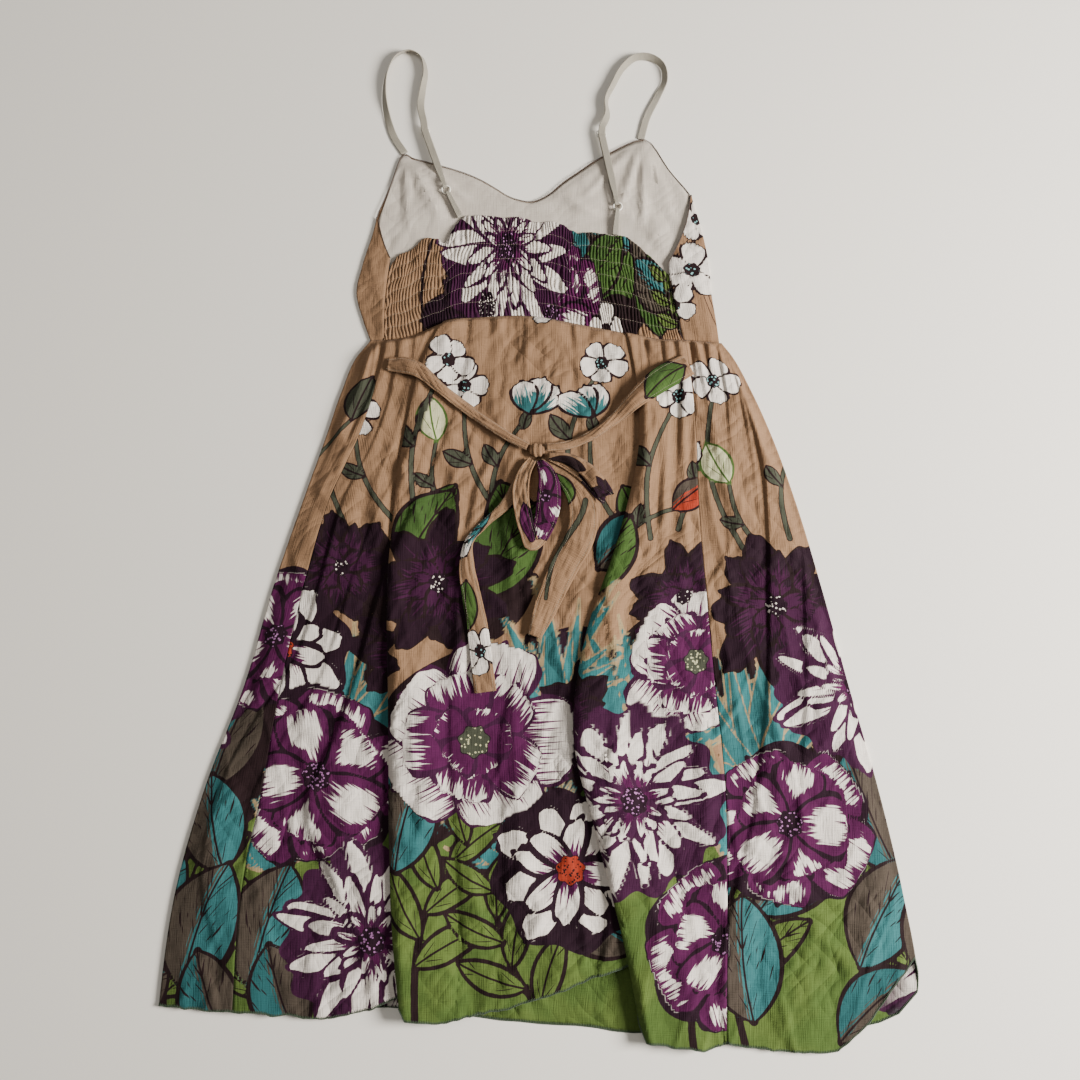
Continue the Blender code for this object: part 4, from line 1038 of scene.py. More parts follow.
def printed_voile():
    """Voile with the print's layers over a ground that is green below and tan above."""
    material, nodes = new_material("printed_voile")
    flat, tone, relief = cotton(nodes)
    wobble = 0.9 * nodes.noise(flat, 230.0, 1.0) - 0.45
    wash = nodes.noise(flat, 22.0, 3.0)

    def over(colour, layer, filled):
        """A layer over the colour beneath it: its drawn line, and its fill within that."""
        for field, upper in (("line", nodes.triple(f"{layer}_edge")), ("fill", filled)):
            mask = (nodes.number(f"{layer}_{field}") + wobble).within(-SOFT_EDGE, SOFT_EDGE)
            colour = nodes.mix(mask, colour, upper)
        return colour

    ground = (nodes.number("ground") + 14.0 * nodes.noise(flat, 60.0, 3.0) - 7.0).within(-1.0, 1.0)
    green = nodes.mix(0.55 * wash.within(0.38, 0.62), GREEN, LEAF_GREEN)
    colour = nodes.mix(ground, green, nodes.mix(wash, TAN, tuple(0.88 * c for c in TAN)))

    along, aside, veined = nodes.parts(nodes.triple("leaf_grain"))
    rib = (1.0 - aside.size()).within(-0.3, 0.3)
    spread = nodes.vector((aside.size() - 0.45 * along) * 0.34, (along + aside.size()) * 0.022)
    vein = nodes.noise(spread, 1.0, 1.0).within(0.63, 0.67)
    brushed = nodes.noise(nodes.vector(aside * 0.5, along * 0.035), 1.0, 2.0)
    half = (aside * 0.11 + 3.4 * brushed - 2.0).within(-0.06, 0.06)
    leaf = nodes.mix(half, nodes.triple("leaf_ink"), nodes.triple("leaf_tip"))
    leaf = nodes.mix(rib.sum("MAXIMUM", vein) * veined, leaf, nodes.triple("leaf_edge"))
    colour = over(colour, "leaf", leaf)

    depth = nodes.number("petal_fill") + wobble
    share, aside, start = nodes.parts(nodes.triple("petal_grain"))
    streak = nodes.noise(nodes.vector(aside * 0.42, share * 1.6), 1.0, 2.0)
    edged = (start - 1.5).within(-0.1, 0.1)
    rim = (0.46 - depth * 0.045).sum("MAXIMUM", 0.34 - share) * edged - 5.0 * (1 - edged)
    ragged = (1.4 - 0.5 * edged) * (streak - 0.5)
    tip = ((share - start + 2.0 * edged).sum("MAXIMUM", rim) + ragged).within(-0.05, 0.05)
    colour = over(colour, "petal", nodes.mix(tip, nodes.triple("petal_ink"), nodes.triple("petal_tip")))

    dots = nodes.add("ShaderNodeTexVoronoi", sockets={"Vector": flat, "Scale": 300.0}).outputs["Distance"]
    dots = 1 - Value(nodes, dots).within(0.28, 0.36)
    colour = over(colour, "heart", nodes.mix(dots, nodes.triple("heart_ink"), nodes.triple("heart_tip")))

    colour, rough = nodes.toned(colour, tone), 0.78 + 0.12 * wash
    nodes.finish(colour, rough, relief, VOILE_RELIEF, Sheen_Weight=0.04, Specular_IOR_Level=0.14)
    return material


def lining_voile():
    """Undyed cotton with the same weave, pressed to a slight sheen."""
    material, nodes = new_material("lining_voile")
    _, tone, relief = cotton(nodes)
    colour, rough = nodes.toned(ink("BBB0A2"), tone), 0.50 + 0.08 * tone
    nodes.finish(colour, rough, relief, LINING_RELIEF, Sheen_Weight=0.12, Specular_IOR_Level=0.45)
    return material


VOILE, LINING = printed_voile(), lining_voile()
print("materials", VOILE.name, LINING.name)

# %% [markdown]
# ## The skirt
# The skirt is two panels, back and front, gathered into the waist seam. The front comes round both sides,
# so its edges show on top. Each is laid on its solid's own curves, with a layer of small creases that a
# solid has no need of. A cloth simulation would settle the folds wherever it liked. Written folds stay
# where they lie on the real dress.

# %% Panels of the skirt
BACK_RUNS = (("left", 64), ("left_turn", 12), ("middle", 98), ("right_turn", 12), ("right", 36))
FRONT_RUNS = (("right_wrap", 74), ("right_roll", 8), ("under", 40), ("left_roll", 8), ("left_wrap", 32))
SKIRT_ROWS = np.linspace(0, 1, 337)

back_columns = run_columns(BACK_RUNS)
back_points, back_base = skirt_panel(back_columns, skirt_back_across, BACK_HEM, lambda run: True)
back_places = along_columns(back_base, back_columns.index(("middle", 0.5)))
skirt_back = Panel(back_points, stacked(back_places, back_points[..., 1]))

RIGHT_WRAP_CUT, LEFT_WRAP_CUT = 330.0, -420.0
front_columns = run_columns(FRONT_RUNS)
front_points, front_base = skirt_panel(
    front_columns,
    lambda run, t, y: front_across(SKIRT, run, t, y),
    FRONT_HEM,
    lambda run: run.endswith("wrap"),
)
front_places = from_both_seams(front_base, RIGHT_WRAP_CUT, LEFT_WRAP_CUT)
skirt_front = Panel(front_points, stacked(front_places, front_points[..., 1]))
print("skirt back", round(skirt_back.area(), 3), "m2, front", round(skirt_front.area(), 3), "m2")

# %% Skirt pieces
def add_printed(name, node, panel, outward=-1):
    """A panel of printed voile."""
    add_piece(shell_mesh(name, panel, outward=outward, fields=printed(panel.flat)), VOILE, node)


add_printed("skirt_back_cloth", "skirt_back", skirt_back)
add_printed("skirt_front_cloth", "skirt_front", skirt_front)

# %% [markdown]
# ## The bodice front and its lining
# The printed front lies underneath, and comes round the sides to the two seams of the shirred back. Its
# cup lining faces the camera. It is cut a little smaller, so that a rim of the front shows round the
# neckline.

# %% Bodice tables
LEFT_ARMHOLE = (310, 358)
RIGHT_ARMHOLE = (303, 384)
NECKLINE = (
    Point(167, 384), Point(145, 413), Point(118, 450.5), Point(108, 450), Point(96, 445), Point(76, 434),
    Point(59, 424), Point(44, 413), Point(26, 400), Point(10, 386), Point(-10, 377), Point(-23, 379),
    Point(-36, 384), Point(-48, 392), Point(-66, 403), Point(-81, 410), Point(-98, 416), Point(-118, 422),
    Point(-140, 428), Point(-154, 431), Point(-166, 394), Point(-176, 358),
)
LINING_INSET = 3.2
LINING_RIDGES = (
    Ridge(-148, 426, -144, 336, 1.5, 7),
    Ridge(-143, 424, -104, 346, 1.8, 7),
    Ridge(-132, 420, -66, 368, 1.3, 6),
    Ridge(-112, 414, -36, 384, 0.9, 5),
    Ridge(112, 446, 82, 350, 1.6, 7),
    Ridge(116, 444, 112, 342, 2.0, 7),
    Ridge(121, 440, 142, 350, 1.7, 7),
    Ridge(102, 440, 46, 378, 1.1, 6),
    Ridge(22, 386, 70, 352, 1.4, 8),
    Ridge(-21, 379, -19, 350, 0.9, 4),
)
SHIRRED_TOP = (
    Point(-167, 296), Point(-162, 308), Point(-146, 319), Point(-130, 334), Point(-118, 333),
    Point(-107, 329), Point(-101, 342), Point(-91, 356), Point(-74, 360), Point(-48, 358), Point(-19, 356),
    Point(-8, 351), Point(7, 352), Point(20, 350), Point(37, 340), Point(54, 340), Point(75, 337),
    Point(97, 333), Point(107, 325), Point(124, 308), Point(140, 290),
)
neckline_y = smooth(NECKLINE, "y", "x")
shirred_top_y = smooth(SHIRRED_TOP, "y", "x")
neck_shares = [(NECKLINE[0].x - point.x) / (NECKLINE[0].x - NECKLINE[-1].x) for point in NECKLINE]


def split(places, parts):
    """Each stretch between neighbours cut into equal parts."""
    marks = np.arange((len(places) - 1) * parts + 1) / parts
    return list(np.interp(marks, range(len(places)), places))


def bodice_column(run, t, v):
    """One column of the bodice front, which ends at the neckline and the armholes."""
    low = waist_of(run, lambda y: front_across(BODICE, run, t, y)[0])
    if run == "under":
        high = neckline_y(front_across(BODICE, run, t, 460.0)[0])
    elif run.startswith("right"):
        high = np.interp(t, (0, 1), RIGHT_ARMHOLE) if run == "right_wrap" else RIGHT_ARMHOLE[1]
    else:
        high = np.interp(t, (0, 1), LEFT_ARMHOLE[::-1]) if run == "left_wrap" else LEFT_ARMHOLE[1]
    y = low + (high - low) * v
    x, z = front_across(BODICE, run, t, y)
    base = stacked(x, z)
    if run.endswith("wrap"):
        edge = np.minimum(x - BODICE.out_left(y), BODICE.out_right(y) - x)
        z = z + creases(x * 1.3, y * 1.2, 0.7) * ease((edge - 2 * ROLL_RADIUS) / 9) * ease((y - low) / 6)
    return stacked(x, y, z), base


def lining_column(share, v):
    """One column of the cup lining, soft-folded only where nothing lies on it."""

    def across(y):
        right, left = BODICE.out_right(y) - LINING_INSET, BODICE.out_left(y) + LINING_INSET
        return right + (left - right) * share

    low = waist_under(across)
    first = neckline_y(NECKLINE[0].x + (NECKLINE[-1].x - NECKLINE[0].x) * share)
    high = neckline_y(across(first)) - LINING_INSET * 0.4
    y = low + (high - low) * v
    x = across(y)
    clear = ease((y - shirred_top_y(x) - 14) / 16) * ease((neckline_y(x) - y) / 14)
    edge = np.minimum(x - BODICE.out_left(y), BODICE.out_right(y) - x)
    open_to_sky = np.maximum(ease((y - 392) / 10), ease((edge - 34) / 12))
    lift = clear * (2.3 * ridge_height(LINING_RIDGES, x, y) + creases(x * 1.2, y, 0.75) * open_to_sky)
    return stacked(x, y, LINING_LEVEL + lift)


# %% Bodice pieces
BODICE_ROWS = np.linspace(0, 1, 121)
BODICE_RIGHT_CUT, BODICE_LEFT_CUT = 12.0, -430.0
bodice_columns = run_columns((("right_wrap", 28), ("right_roll", 8)))
bodice_columns += [("under", share) for share in split(neck_shares, 4)[1:]]
bodice_columns += run_columns((("left_roll", 8), ("left_wrap", 16)))[1:]
columns = [bodice_column(run, t, BODICE_ROWS) for run, t in bodice_columns]
bodice_points, bodice_base = (np.array(part) for part in zip(*columns))
bodice_places = from_both_seams(bodice_base, BODICE_RIGHT_CUT, BODICE_LEFT_CUT)
bodice_front = Panel(bodice_points, stacked(bodice_places, bodice_points[..., 1]))
add_printed("bodice_front_cloth", "bodice_front", bodice_front)

lining_points = np.array([lining_column(share, BODICE_ROWS) for share in split(neck_shares, 6)])
bodice_lining = Panel(lining_points, lining_points[..., :2])
add_piece(shell_mesh("bodice_lining_cloth", bodice_lining), LINING, "bodice_lining")
print("bodice front", round(bodice_front.area(), 3), "m2, lining", round(bodice_lining.area(), 3), "m2")

# %% [markdown]
# ## The shirred back
# Rows of elastic thread gather this panel to about half its width. Between two rows the cloth puffs into
# ribs, which are pinched at every row and change a little from band to band. The print is drawn on the
# cloth before gathering, so it is narrowed with the ribs.

# %% Shirring
SHIRR_RIBS, SHIRR_HEIGHT, SHIRR_ROWS, SHIRR_PINCH, SHIRR_PUFF = 94, 2.3, 7, 0.24, 1.6
GATHERED, LENGTHENED = 1.75, 1.05
SHIRRED_COLUMNS, SHIRRED_ROWS = np.linspace(0, 1, 561), np.linspace(0, 1, 85)


def shirred_column(u, v):
    """One column of the shirred back before its ribs, with a top edge that flutters."""

    def across(y):
        return BODICE.seam_left(y) + (BODICE.seam_right(y) - BODICE.seam_left(y)) * u

    low = waist_under(across)
    high_x = SHIRRED_TOP[0].x + (SHIRRED_TOP[-1].x - SHIRRED_TOP[0].x) * u
    high = shirred_top_y(high_x) + 3.0 * (soft_noise(np.array(high_x / 5.0), np.array(0.5), 51) - 0.5)
    y = low + (high - low) * v
    puff = SHIRR_PUFF * ease(v / 0.2) * ease((1 - v) / 0.12) * math.sin(math.pi * u) ** 0.5
    return across(y), y, BACK_LEVEL + puff


def shirring(u, v):
    """Height of the ribs: uneven puffs between the elastic rows, pinched where a row crosses them."""
    band = v * SHIRR_ROWS
    wander = 2.6 * soft_noise(u * 14, band * 0.35, 52) + soft_noise(u * 40, band * 1.2, 53)
    rib = 0.5 - 0.5 * np.cos(2 * math.pi * (SHIRR_RIBS * u + wander))
    share = 0.45 + 0.9 * soft_noise(u * 40, band * 0.7, 54)
    pinch = SHIRR_PINCH + (1 - SHIRR_PINCH) * np.abs(np.sin(math.pi * band)) ** 0.7
    return SHIRR_HEIGHT * rib * share * pinch


shirred_middle = np.array([stacked(*shirred_column(u, SHIRRED_ROWS)) for u in SHIRRED_COLUMNS])
ribs = shirring(SHIRRED_COLUMNS[:, None], SHIRRED_ROWS[None, :])
across, up = shirred_middle[..., 0] * GATHERED, (shirred_middle[..., 1] - WAIST[0].y) * LENGTHENED
shirred_back = Panel(shirred_middle + stacked(0, 0, ribs), stacked(across, YOKE + up))
add_printed("shirred_back_cloth", "bodice_back_shirred", shirred_back, outward=1)
print("shirred back", round(shirred_back.area(), 3), "m2")

# %% [markdown]
# ## The sash
# Two ties are caught in the side seams and knotted behind, with two loops and two tails. Each stretch is a
# band swept along its own line and laid over the highest folds beneath it. A band that turns back on
# itself keeps its own side up until it turns, as ribbon does. Stitching along both edges draws fine
# creases across it.

# %% Sash tables
SASH_WALL, SASH_CLEAR = 1.2, 0.3
Band = namedtuple("Band", "x y width arch rise")
SASH_PIECES = {
    "sash_tie_left": (
        Band(-161, 186, 13, 1.0, -0.35), Band(-145, 184, 18, 1.6, 0.6), Band(-128, 178, 16, 1.8, 1.0),
        Band(-108, 161, 11, 1.8, 1.0), Band(-81, 141, 11, 2.0, 1.0), Band(-54, 121, 10, 2.0, 1.4),
        Band(-30, 105, 9, 1.8, 2.0), Band(-12.8, 96, 8, 1.0, 3.0),
    ),
    "sash_tie_right": (
        Band(157, 186, 24, 1.2, -0.4), Band(137, 175, 27, 1.8, 0.4), Band(117, 161, 25, 2.2, 0.8),
        Band(97, 144, 18, 2.4, 1.0), Band(76, 125, 12, 2.4, 1.0), Band(52, 108, 10, 2.2, 1.2),
        Band(29, 98, 9, 2.0, 2.0), Band(6.6, 95, 8, 1.0, 3.0),
    ),
    "sash_loop_lower": (
        Band(0, 82, 8, 0.8, 2.6), Band(8, 64, 19, 1.0, 4.0), Band(9, 40, 25, 1.2, 3.4),
        Band(4, 14, 22, 0.8, 0.8), Band(-4, -2, 17, 0.4, 0.6), Band(-8, -6, 16, 0.0, 2.6),
        Band(-12, 4, 16, -0.6, 5.0),
        Band(-18, 28, 17, -1.2, 5.4), Band(-20, 52, 16, -1.2, 5.8), Band(-14, 72, 12, -1.0, 5.8),
        Band(-8, 82, 8, -0.8, 5.4),
    ),
    "sash_loop_side": (
        Band(8, 85.5, 7, 0.8, 2.2), Band(26, 79, 12, 1.0, 2.7), Band(46, 66, 16, 1.0, 2.9),
        Band(60, 51, 17, 0.6, 2.6),
        Band(68, 43, 17, 0.2, 4.2), Band(61, 55, 17, -0.8, 6.0), Band(46, 72, 15, -1.2, 6.6),
        Band(27, 83, 11, -1.2, 6.6), Band(8, 85.5, 7, -0.8, 5.4),
    ),
    "sash_tail_left": (
        Band(-10, 83, 8, 0.6, 0.4), Band(-21, 60, 13, 0.8, 0.0), Band(-35, 36, 11, 0.8, 0.0),
        Band(-58, 14, 8, 1.2, 0.4), Band(-73, -4, 9, 1.2, 0.4), Band(-75, -28, 15, 1.2, 0.0),
        Band(-70, -59, 19, 1.4, 0.0), Band(-64, -89, 21, 1.6, 0.0), Band(-60, -120, 22, 1.6, 0.0),
        Band(-55, -157, 22, 1.2, 0.0),
    ),
    "sash_tail_right": (
        Band(3, 81, 9, 0.6, 0.2), Band(24, 66, 19, 1.0, 0.0), Band(41, 44, 27, 1.2, 0.0),
        Band(45, 20, 30, 1.6, 0.0), Band(40, -2, 30, 1.6, 0.0), Band(28, -24, 29, 1.4, 0.0),
        Band(16, -48, 27, 1.4, 0.0), Band(4, -76, 23, 1.0, 0.0), Band(-6, -101, 14, 0.8, 0.0),
    ),
}
skirt_cloud = skirt_back.points.reshape(-1, 3)


def skirt_height(x, y, reach):
    """The highest cloth of the skirt near a place."""
    near = np.hypot(skirt_cloud[:, 0] - x, skirt_cloud[:, 1] - y) < reach
    return skirt_cloud[near, 2].max(initial=BACK_LEVEL) + CLOTH / 2


# %% Bands
def resampled(rows, step):
    """A table of places along a path, read smoothly every step millimetres, with the length to each."""
    spans = np.hypot(*np.diff([(row.x, row.y) for row in rows], axis=0).T)
    marks = np.concatenate([[0], np.cumsum(np.maximum(spans, 1.0))])
    Mark = namedtuple("Mark", ("at",) + rows[0]._fields)
    table = [Mark(at, *row) for at, row in zip(marks, rows)]
    where = np.linspace(0, marks[-1], 2 * max(1, round(marks[-1] / step / 2)) + 1)
    found = {field: smooth(table, field, "at")(where) for field in rows[0]._fields}
    found["at"] = where
    return found


def band_grid(path, width, arch, roll, across, relief=None):
    """Middle surface of a flat band swept along a path, rows of points across it."""
    along = np.gradient(path, axis=0)
    along /= np.linalg.norm(along, axis=1, keepdims=True)
    s = np.linspace(-1, 1, across + 1)[:, None]
    last, rows = None, []
    for k, tangent in enumerate(along):
        side = np.array([tangent[1], -tangent[0], 0.0])
        if np.linalg.norm(side) < 0.35 and last is not None:
            side = last - tangent * (last @ tangent)
        elif last is not None and side @ last < 0:
            side = -side
        side /= np.linalg.norm(side)
        last = side
        up = np.cross(side, tangent)
        turn = math.radians(roll[k])
        wide = side * math.cos(turn) + up * math.sin(turn)
        thick = up * math.cos(turn) - side * math.sin(turn)
        bulge = arch[k] * (1 - s * s) + (0 if relief is None else relief[k][:, None])
        rows.append(path[k] + wide * s * width[k] / 2 + thick * bulge)
    return np.array(rows)


def sash_relief(at, across, seed):
    """Creases that the edge stitching draws across a sash, and a soft roll along both edges."""
    s = np.linspace(-1, 1, across + 1)[None, :]
    drawn = soft_noise(at[:, None] / 3.4 + 0.8 * s, 1.3 * np.abs(s) + seed, seed)
    twist = soft_noise(at[:, None] / 26.0 + 1.6 * s, 2.2 * s + seed + 9.5, seed + 1)
    rim = np.exp(-(((np.abs(s) - 0.8) / 0.12) ** 2))
    return 0.35 * drawn * (0.2 + np.abs(s)) + 1.1 * (1 - np.abs(2 * twist - 1)) ** 3 - 0.45 * rim


def sash_panel(number, rows, across=16):
    """One stretch of the sash over the skirt's highest places beneath it."""
    table = resampled(rows, 1.6)
    marks = np.arange(0, table["at"][-1] + 4, 4.0)
    x, y, width = (np.interp(marks, table["at"], table[column]) for column in ("x", "y", "width"))
    heights = [skirt_height(*place) for place in zip(x, y, width / 2 + 4)]
    padded = np.pad(heights, 2, mode="edge")
    highest = np.array([padded[k : k + 5].max() for k in range(len(heights))])
    eased = np.convolve(np.pad(highest, 2, mode="edge"), np.ones(5) / 5, "valid")
    z = np.interp(table["at"], marks, eased) + SASH_CLEAR + SASH_WALL / 2 + table["rise"]
    path, relief = stacked(table["x"], table["y"], z), sash_relief(table["at"], across, 61 + 3 * number)
    grid = band_grid(path, table["width"], table["arch"], 0 * z, across, relief)
    s = np.linspace(-1, 1, across + 1)
    return Panel(grid, stacked(table["at"][:, None], SASH + SASH_APART * number + 14 * s[None, :]))


sashes = {}
for number, (name, rows) in enumerate(SASH_PIECES.items()):
    sashes[name] = sash_panel(number, rows)
    fields = printed(sashes[name].flat)
    add_piece(shell_mesh(f"{name}_cloth", sashes[name], SASH_WALL, -1, fields, SASH_WALL / 2), VOILE, name)

# %% The knot
KNOT = Point(-3, 92.5)
KNOT_LENGTH, KNOT_WIDTH, KNOT_HEIGHT = 18.0, 15.0, 9.0


def knot_panel(around=72, rows=48):
    """The knot as a pressed lump: one turn of the sash wraps it, drawn into folds that lean across."""
    turn = np.linspace(0, 2 * math.pi, around + 1)[:, None]
    tilt = np.linspace(-0.98, 0.98, rows + 1)[None, :] * math.pi / 2
    fold = 0.5 + 0.5 * np.cos(9 * tilt + 1.3 * np.sin(turn) + 2.2)
    wrap = np.exp(-((tilt / 0.55) ** 2))
    uneven = soft_noise(3 * np.cos(turn) + 9, 6 * tilt + 9, 81) - 0.5
    grow = 0.84 + 0.14 * fold + 0.06 * wrap + 0.05 * uneven
    z = skirt_height(KNOT.x, KNOT.y, KNOT_LENGTH / 3) + SASH_CLEAR + KNOT_HEIGHT / 2
    points = stacked(
        KNOT.x + grow * KNOT_LENGTH / 2 * np.sin(tilt),
        KNOT.y + grow * KNOT_WIDTH / 2 * np.cos(tilt) * np.cos(turn),
        z + grow * KNOT_HEIGHT / 2 * np.cos(tilt) * np.sin(turn),
    )
    return Panel(points, stacked(-120 + 8 * turn, SASH + 14 * tilt))


def wrapped_mesh(name, panel, fields):
    """A closed lump from a grid whose first and last columns are the same, each end closed by a fan."""
    points, count = panel.points[:-1], len(panel.points) - 1
    rows = points.shape[1]

    def with_ends(values, ends):
        return np.concatenate([values.reshape(count * rows, *values.shape[2:]), ends])

    faces = []
    for i in range(count):
        j = (i + 1) % count
        faces += [(i * rows + r, j * rows + r, j * rows + r + 1, i * rows + r + 1) for r in range(rows - 1)]
        faces.append((j * rows, i * rows, count * rows))
        faces.append((i * rows + rows - 1, j * rows + rows - 1, count * rows + 1))
    ends = points[:, [0, -1]].mean(axis=0)
    mesh = facing_out(smooth_mesh(name, with_ends(points, ends), faces))
    lay_flat_places(mesh, with_ends(panel.flat[:-1], panel.flat[0, [0, -1]]))
    for field, values in fields.items():
        store_field(mesh, field, with_ends(values[:-1], values[0, [0, -1]]))
    return mesh


def facing_out(mesh):
    """A closed mesh, its faces turned over if they point inwards, which its volume shows."""
    mesh.calc_loop_triangles()
    points = np.array([vertex.co[:] for vertex in mesh.vertices])
    corners = points[[triangle.vertices[:] for triangle in mesh.loop_triangles]]
    if np.einsum("ij,ij->i", corners[:, 0], np.cross(corners[:, 1], corners[:, 2])).sum() < 0:
        mesh.flip_normals()
    return mesh


knot = knot_panel()
add_piece(wrapped_mesh("sash_knot_cloth", knot, printed(knot.flat)), VOILE, "sash_knot")

# %% [markdown]
# ## Straps and their hardware
# Each strap is flat elastic ribbon. It rises from a front point, loops over, passes an adjuster, runs
# round a ring and back. A short doubled tab holds the ring to the top of the shirred back. Rings and
# adjusters are coated wire.

# %% Strap tables
RIBBON_WALL, RIBBON_FOLDED, RIBBON_AT_RING, TAB_WIDTH = 0.9, 7.6, 4.4, 6.4
RING_RADIUS, RING_WIRE, RING_SLACK = 4.6, 0.8, 0.75
SLIDER_LENGTH, SLIDER_WIDTH, SLIDER_BAR = 9.0, 11.0, 1.2
Lay = namedtuple("Lay", "x y z width roll")
Hardware = namedtuple("Hardware", "slider ring seam")
STRAPS = {
    "left": (
        Lay(-149.8, 434.6, 1.3, 8, 0), Lay(-162, 454, 1.6, 8, 8), Lay(-170, 478, 3.0, 8, 30),
        Lay(-174, 507, 4.2, 8, 55), Lay(-171, 534, 4.4, 8, 68), Lay(-162, 552, 4.6, 8, 72),
        Lay(-147, 558.5, 4.6, 8, 70), Lay(-134, 552, 4.6, 8, 68), Lay(-128.5, 535, 4.4, 8, 60),
        Lay(-131, 512, 4.0, 8, 45), Lay(-133, 490, 4.6, 8, 12), Lay(-129, 470, 6.6, 7.6, 0),
    ),
    "right": (
        Lay(111.9, 452.1, 1.3, 8, 0), Lay(119, 478, 1.6, 8, 0), Lay(131, 503, 2.2, 8, 12),
        Lay(140, 524, 3.4, 8, 40), Lay(137, 541, 4.0, 8, 55), Lay(124, 550.5, 4.2, 8, 50),
        Lay(108, 550.5, 4.2, 8, 48), Lay(95, 540, 4.2, 8, 50), Lay(82, 517, 4.2, 8, 55),
        Lay(74, 498, 4.4, 8, 62), Lay(75, 480, 5.0, 8, 45), Lay(69, 464, 7.2, 7.6, 0),
    ),
}
HARDWARE = {
    "left": Hardware((-128, 461, 5.2), (-103, 389, 6.8), (-87, 357.6)),
    "right": Hardware((68, 456, 5.8), (85, 369, 6.8), (82, 337.0)),
}
UP = np.array([0, 0, 1.0])
RING_CLEAR = RING_WIRE + GAP + RIBBON_WALL / 2 + RING_SLACK


# %% Routes of the ribbon
def round_ring(turn, heading, start, direction):
    """Half a turn of ribbon round the wire of a ring."""
    angles = np.radians(start + direction * np.arange(0, 181, 15))[:, None]
    return turn + RING_CLEAR * (heading * np.cos(angles) + UP * np.sin(angles))


def strap_route(rows, hardware):
    """Path, width and roll of a strap from its front point to its free end under the adjuster."""
    table = resampled(rows, 3.0)
    loop = stacked(table["x"], table["y"], table["z"])
    slider, ring = np.array(hardware.slider), np.array(hardware.ring)
    heading = (ring - slider) / np.linalg.norm(ring - slider)
    step = SLIDER_BAR / 2 + GAP + RIBBON_WALL / 2
    over, under = slider + UP * step, slider - UP * step + heading
    turn = ring - heading * RING_RADIUS
    down = over + (turn + UP * RING_CLEAR - over) * np.linspace(0, 1, 25)[:-1, None]
    back = turn - UP * RING_CLEAR + (under - turn + UP * RING_CLEAR) * np.linspace(0, 1, 24)[1:, None]
    path = np.concatenate([loop, down, round_ring(turn, heading, 90, -1), back])
    narrow = np.interp(np.linspace(0, 1, 24), (0, 0.7, 1), (RIBBON_FOLDED, RIBBON_FOLDED, RIBBON_AT_RING))
    width = np.concatenate([table["width"], narrow, np.full(13, RIBBON_AT_RING), narrow[::-1][1:]])
    roll = np.concatenate([table["roll"], np.zeros(len(path) - len(loop))])
    return path, width, roll


def tab_route(hardware):
    """Path and width of a tab: from the seam, round the ring and back beneath itself."""
    ring, seam = np.array(hardware.ring), np.array([*hardware.seam, BACK_LEVEL + 1.6])
    heading = (seam - ring) / np.linalg.norm(seam - ring)
    turn = ring + heading * RING_RADIUS
    half, clear = UP * (RIBBON_WALL / 2 + 0.2), UP * RING_CLEAR
    down = seam + half + (turn + clear - seam - half) * np.linspace(0, 1, 13)[:-1, None]
    back = turn - clear + (seam - half - turn + clear) * np.linspace(0, 1, 13)[1:, None]
    path = np.concatenate([down, round_ring(turn, heading, 90, 1), back])
    widths = (TAB_WIDTH, RIBBON_AT_RING, RIBBON_AT_RING, TAB_WIDTH)
    return path, np.interp(np.arange(len(path)), (0, 12, 24, len(path) - 1), widths)


# %% Ribbon and metal finishes
def elastic_ribbon():
    """Fine cords along the ribbon, and fine picks across it in its relief."""
    material, nodes = new_material("strap_elastic")
    flat = nodes.cloth()
    along, aside, _ = nodes.parts(nodes.scaled(flat, (1000.0, 1000.0, 1.0)))
    cords = (aside * (2 * math.pi / 0.9)).sum("SINE")
    picks = (along * (2 * math.pi / 1.4)).sum("SINE")
    soil = nodes.noise(flat, 60.0, 3.0)
    colour = nodes.mix(soil, ink("8F8779"), ink("A9A18F"))
    colour = nodes.mix((0.5 + 0.5 * cords) * 0.25, colour, ink("938B7A"))
    nodes.finish(colour, 0.5 + 0.1 * soil, 0.6 * cords + 0.3 * picks, 0.00025, Sheen_Weight=0.2)
    return material


def coated_wire():
    """Cream lacquer, rubbed a little."""
    material, nodes = new_material("cream_coated_wire")
    place = nodes.place()
    rubbed = nodes.noise(place, 700.0, 3.0).within(0.62, 0.75)
    colour = nodes.mix(rubbed, ink("F0EBDD"), ink("C2B8A2"))
    nodes.finish(colour, 0.28 + 0.25 * rubbed, nodes.noise(place, 1500.0), 0.00005, Coat_Weight=0.3)
    return material


ELASTIC, WIRE = elastic_ribbon(), coated_wire()


def ribbon_mesh(name, path, width, roll):
    """A ribbon of its real thickness, with flat places along and across it."""
    across = 8
    grid = band_grid(path, width, 0 * width, roll, across)
    length = np.concatenate([[0], np.cumsum(np.linalg.norm(np.diff(path, axis=0), axis=1))])
    flat = stacked(length[:, None], np.linspace(-0.5, 0.5, across + 1)[None, :] * width[:, None])
    odd = len(path) - 1 + len(path) % 2
    return shell_mesh(name, Panel(grid[:odd], flat[:odd]), RIBBON_WALL, -1, proud=RIBBON_WALL / 2)


def tube_points(path, radius, sides=12):
    """Rings of points round a closed path that lies flat."""
    ahead = np.roll(path, -1, axis=0) - np.roll(path, 1, axis=0)
    ahead /= np.linalg.norm(ahead, axis=1, keepdims=True)
    aside = np.cross(ahead, UP)
    angle = np.linspace(0, 2 * math.pi, sides, endpoint=False)[None, :, None]
    return path[:, None] + radius * (aside[:, None] * np.cos(angle) + UP * np.sin(angle))


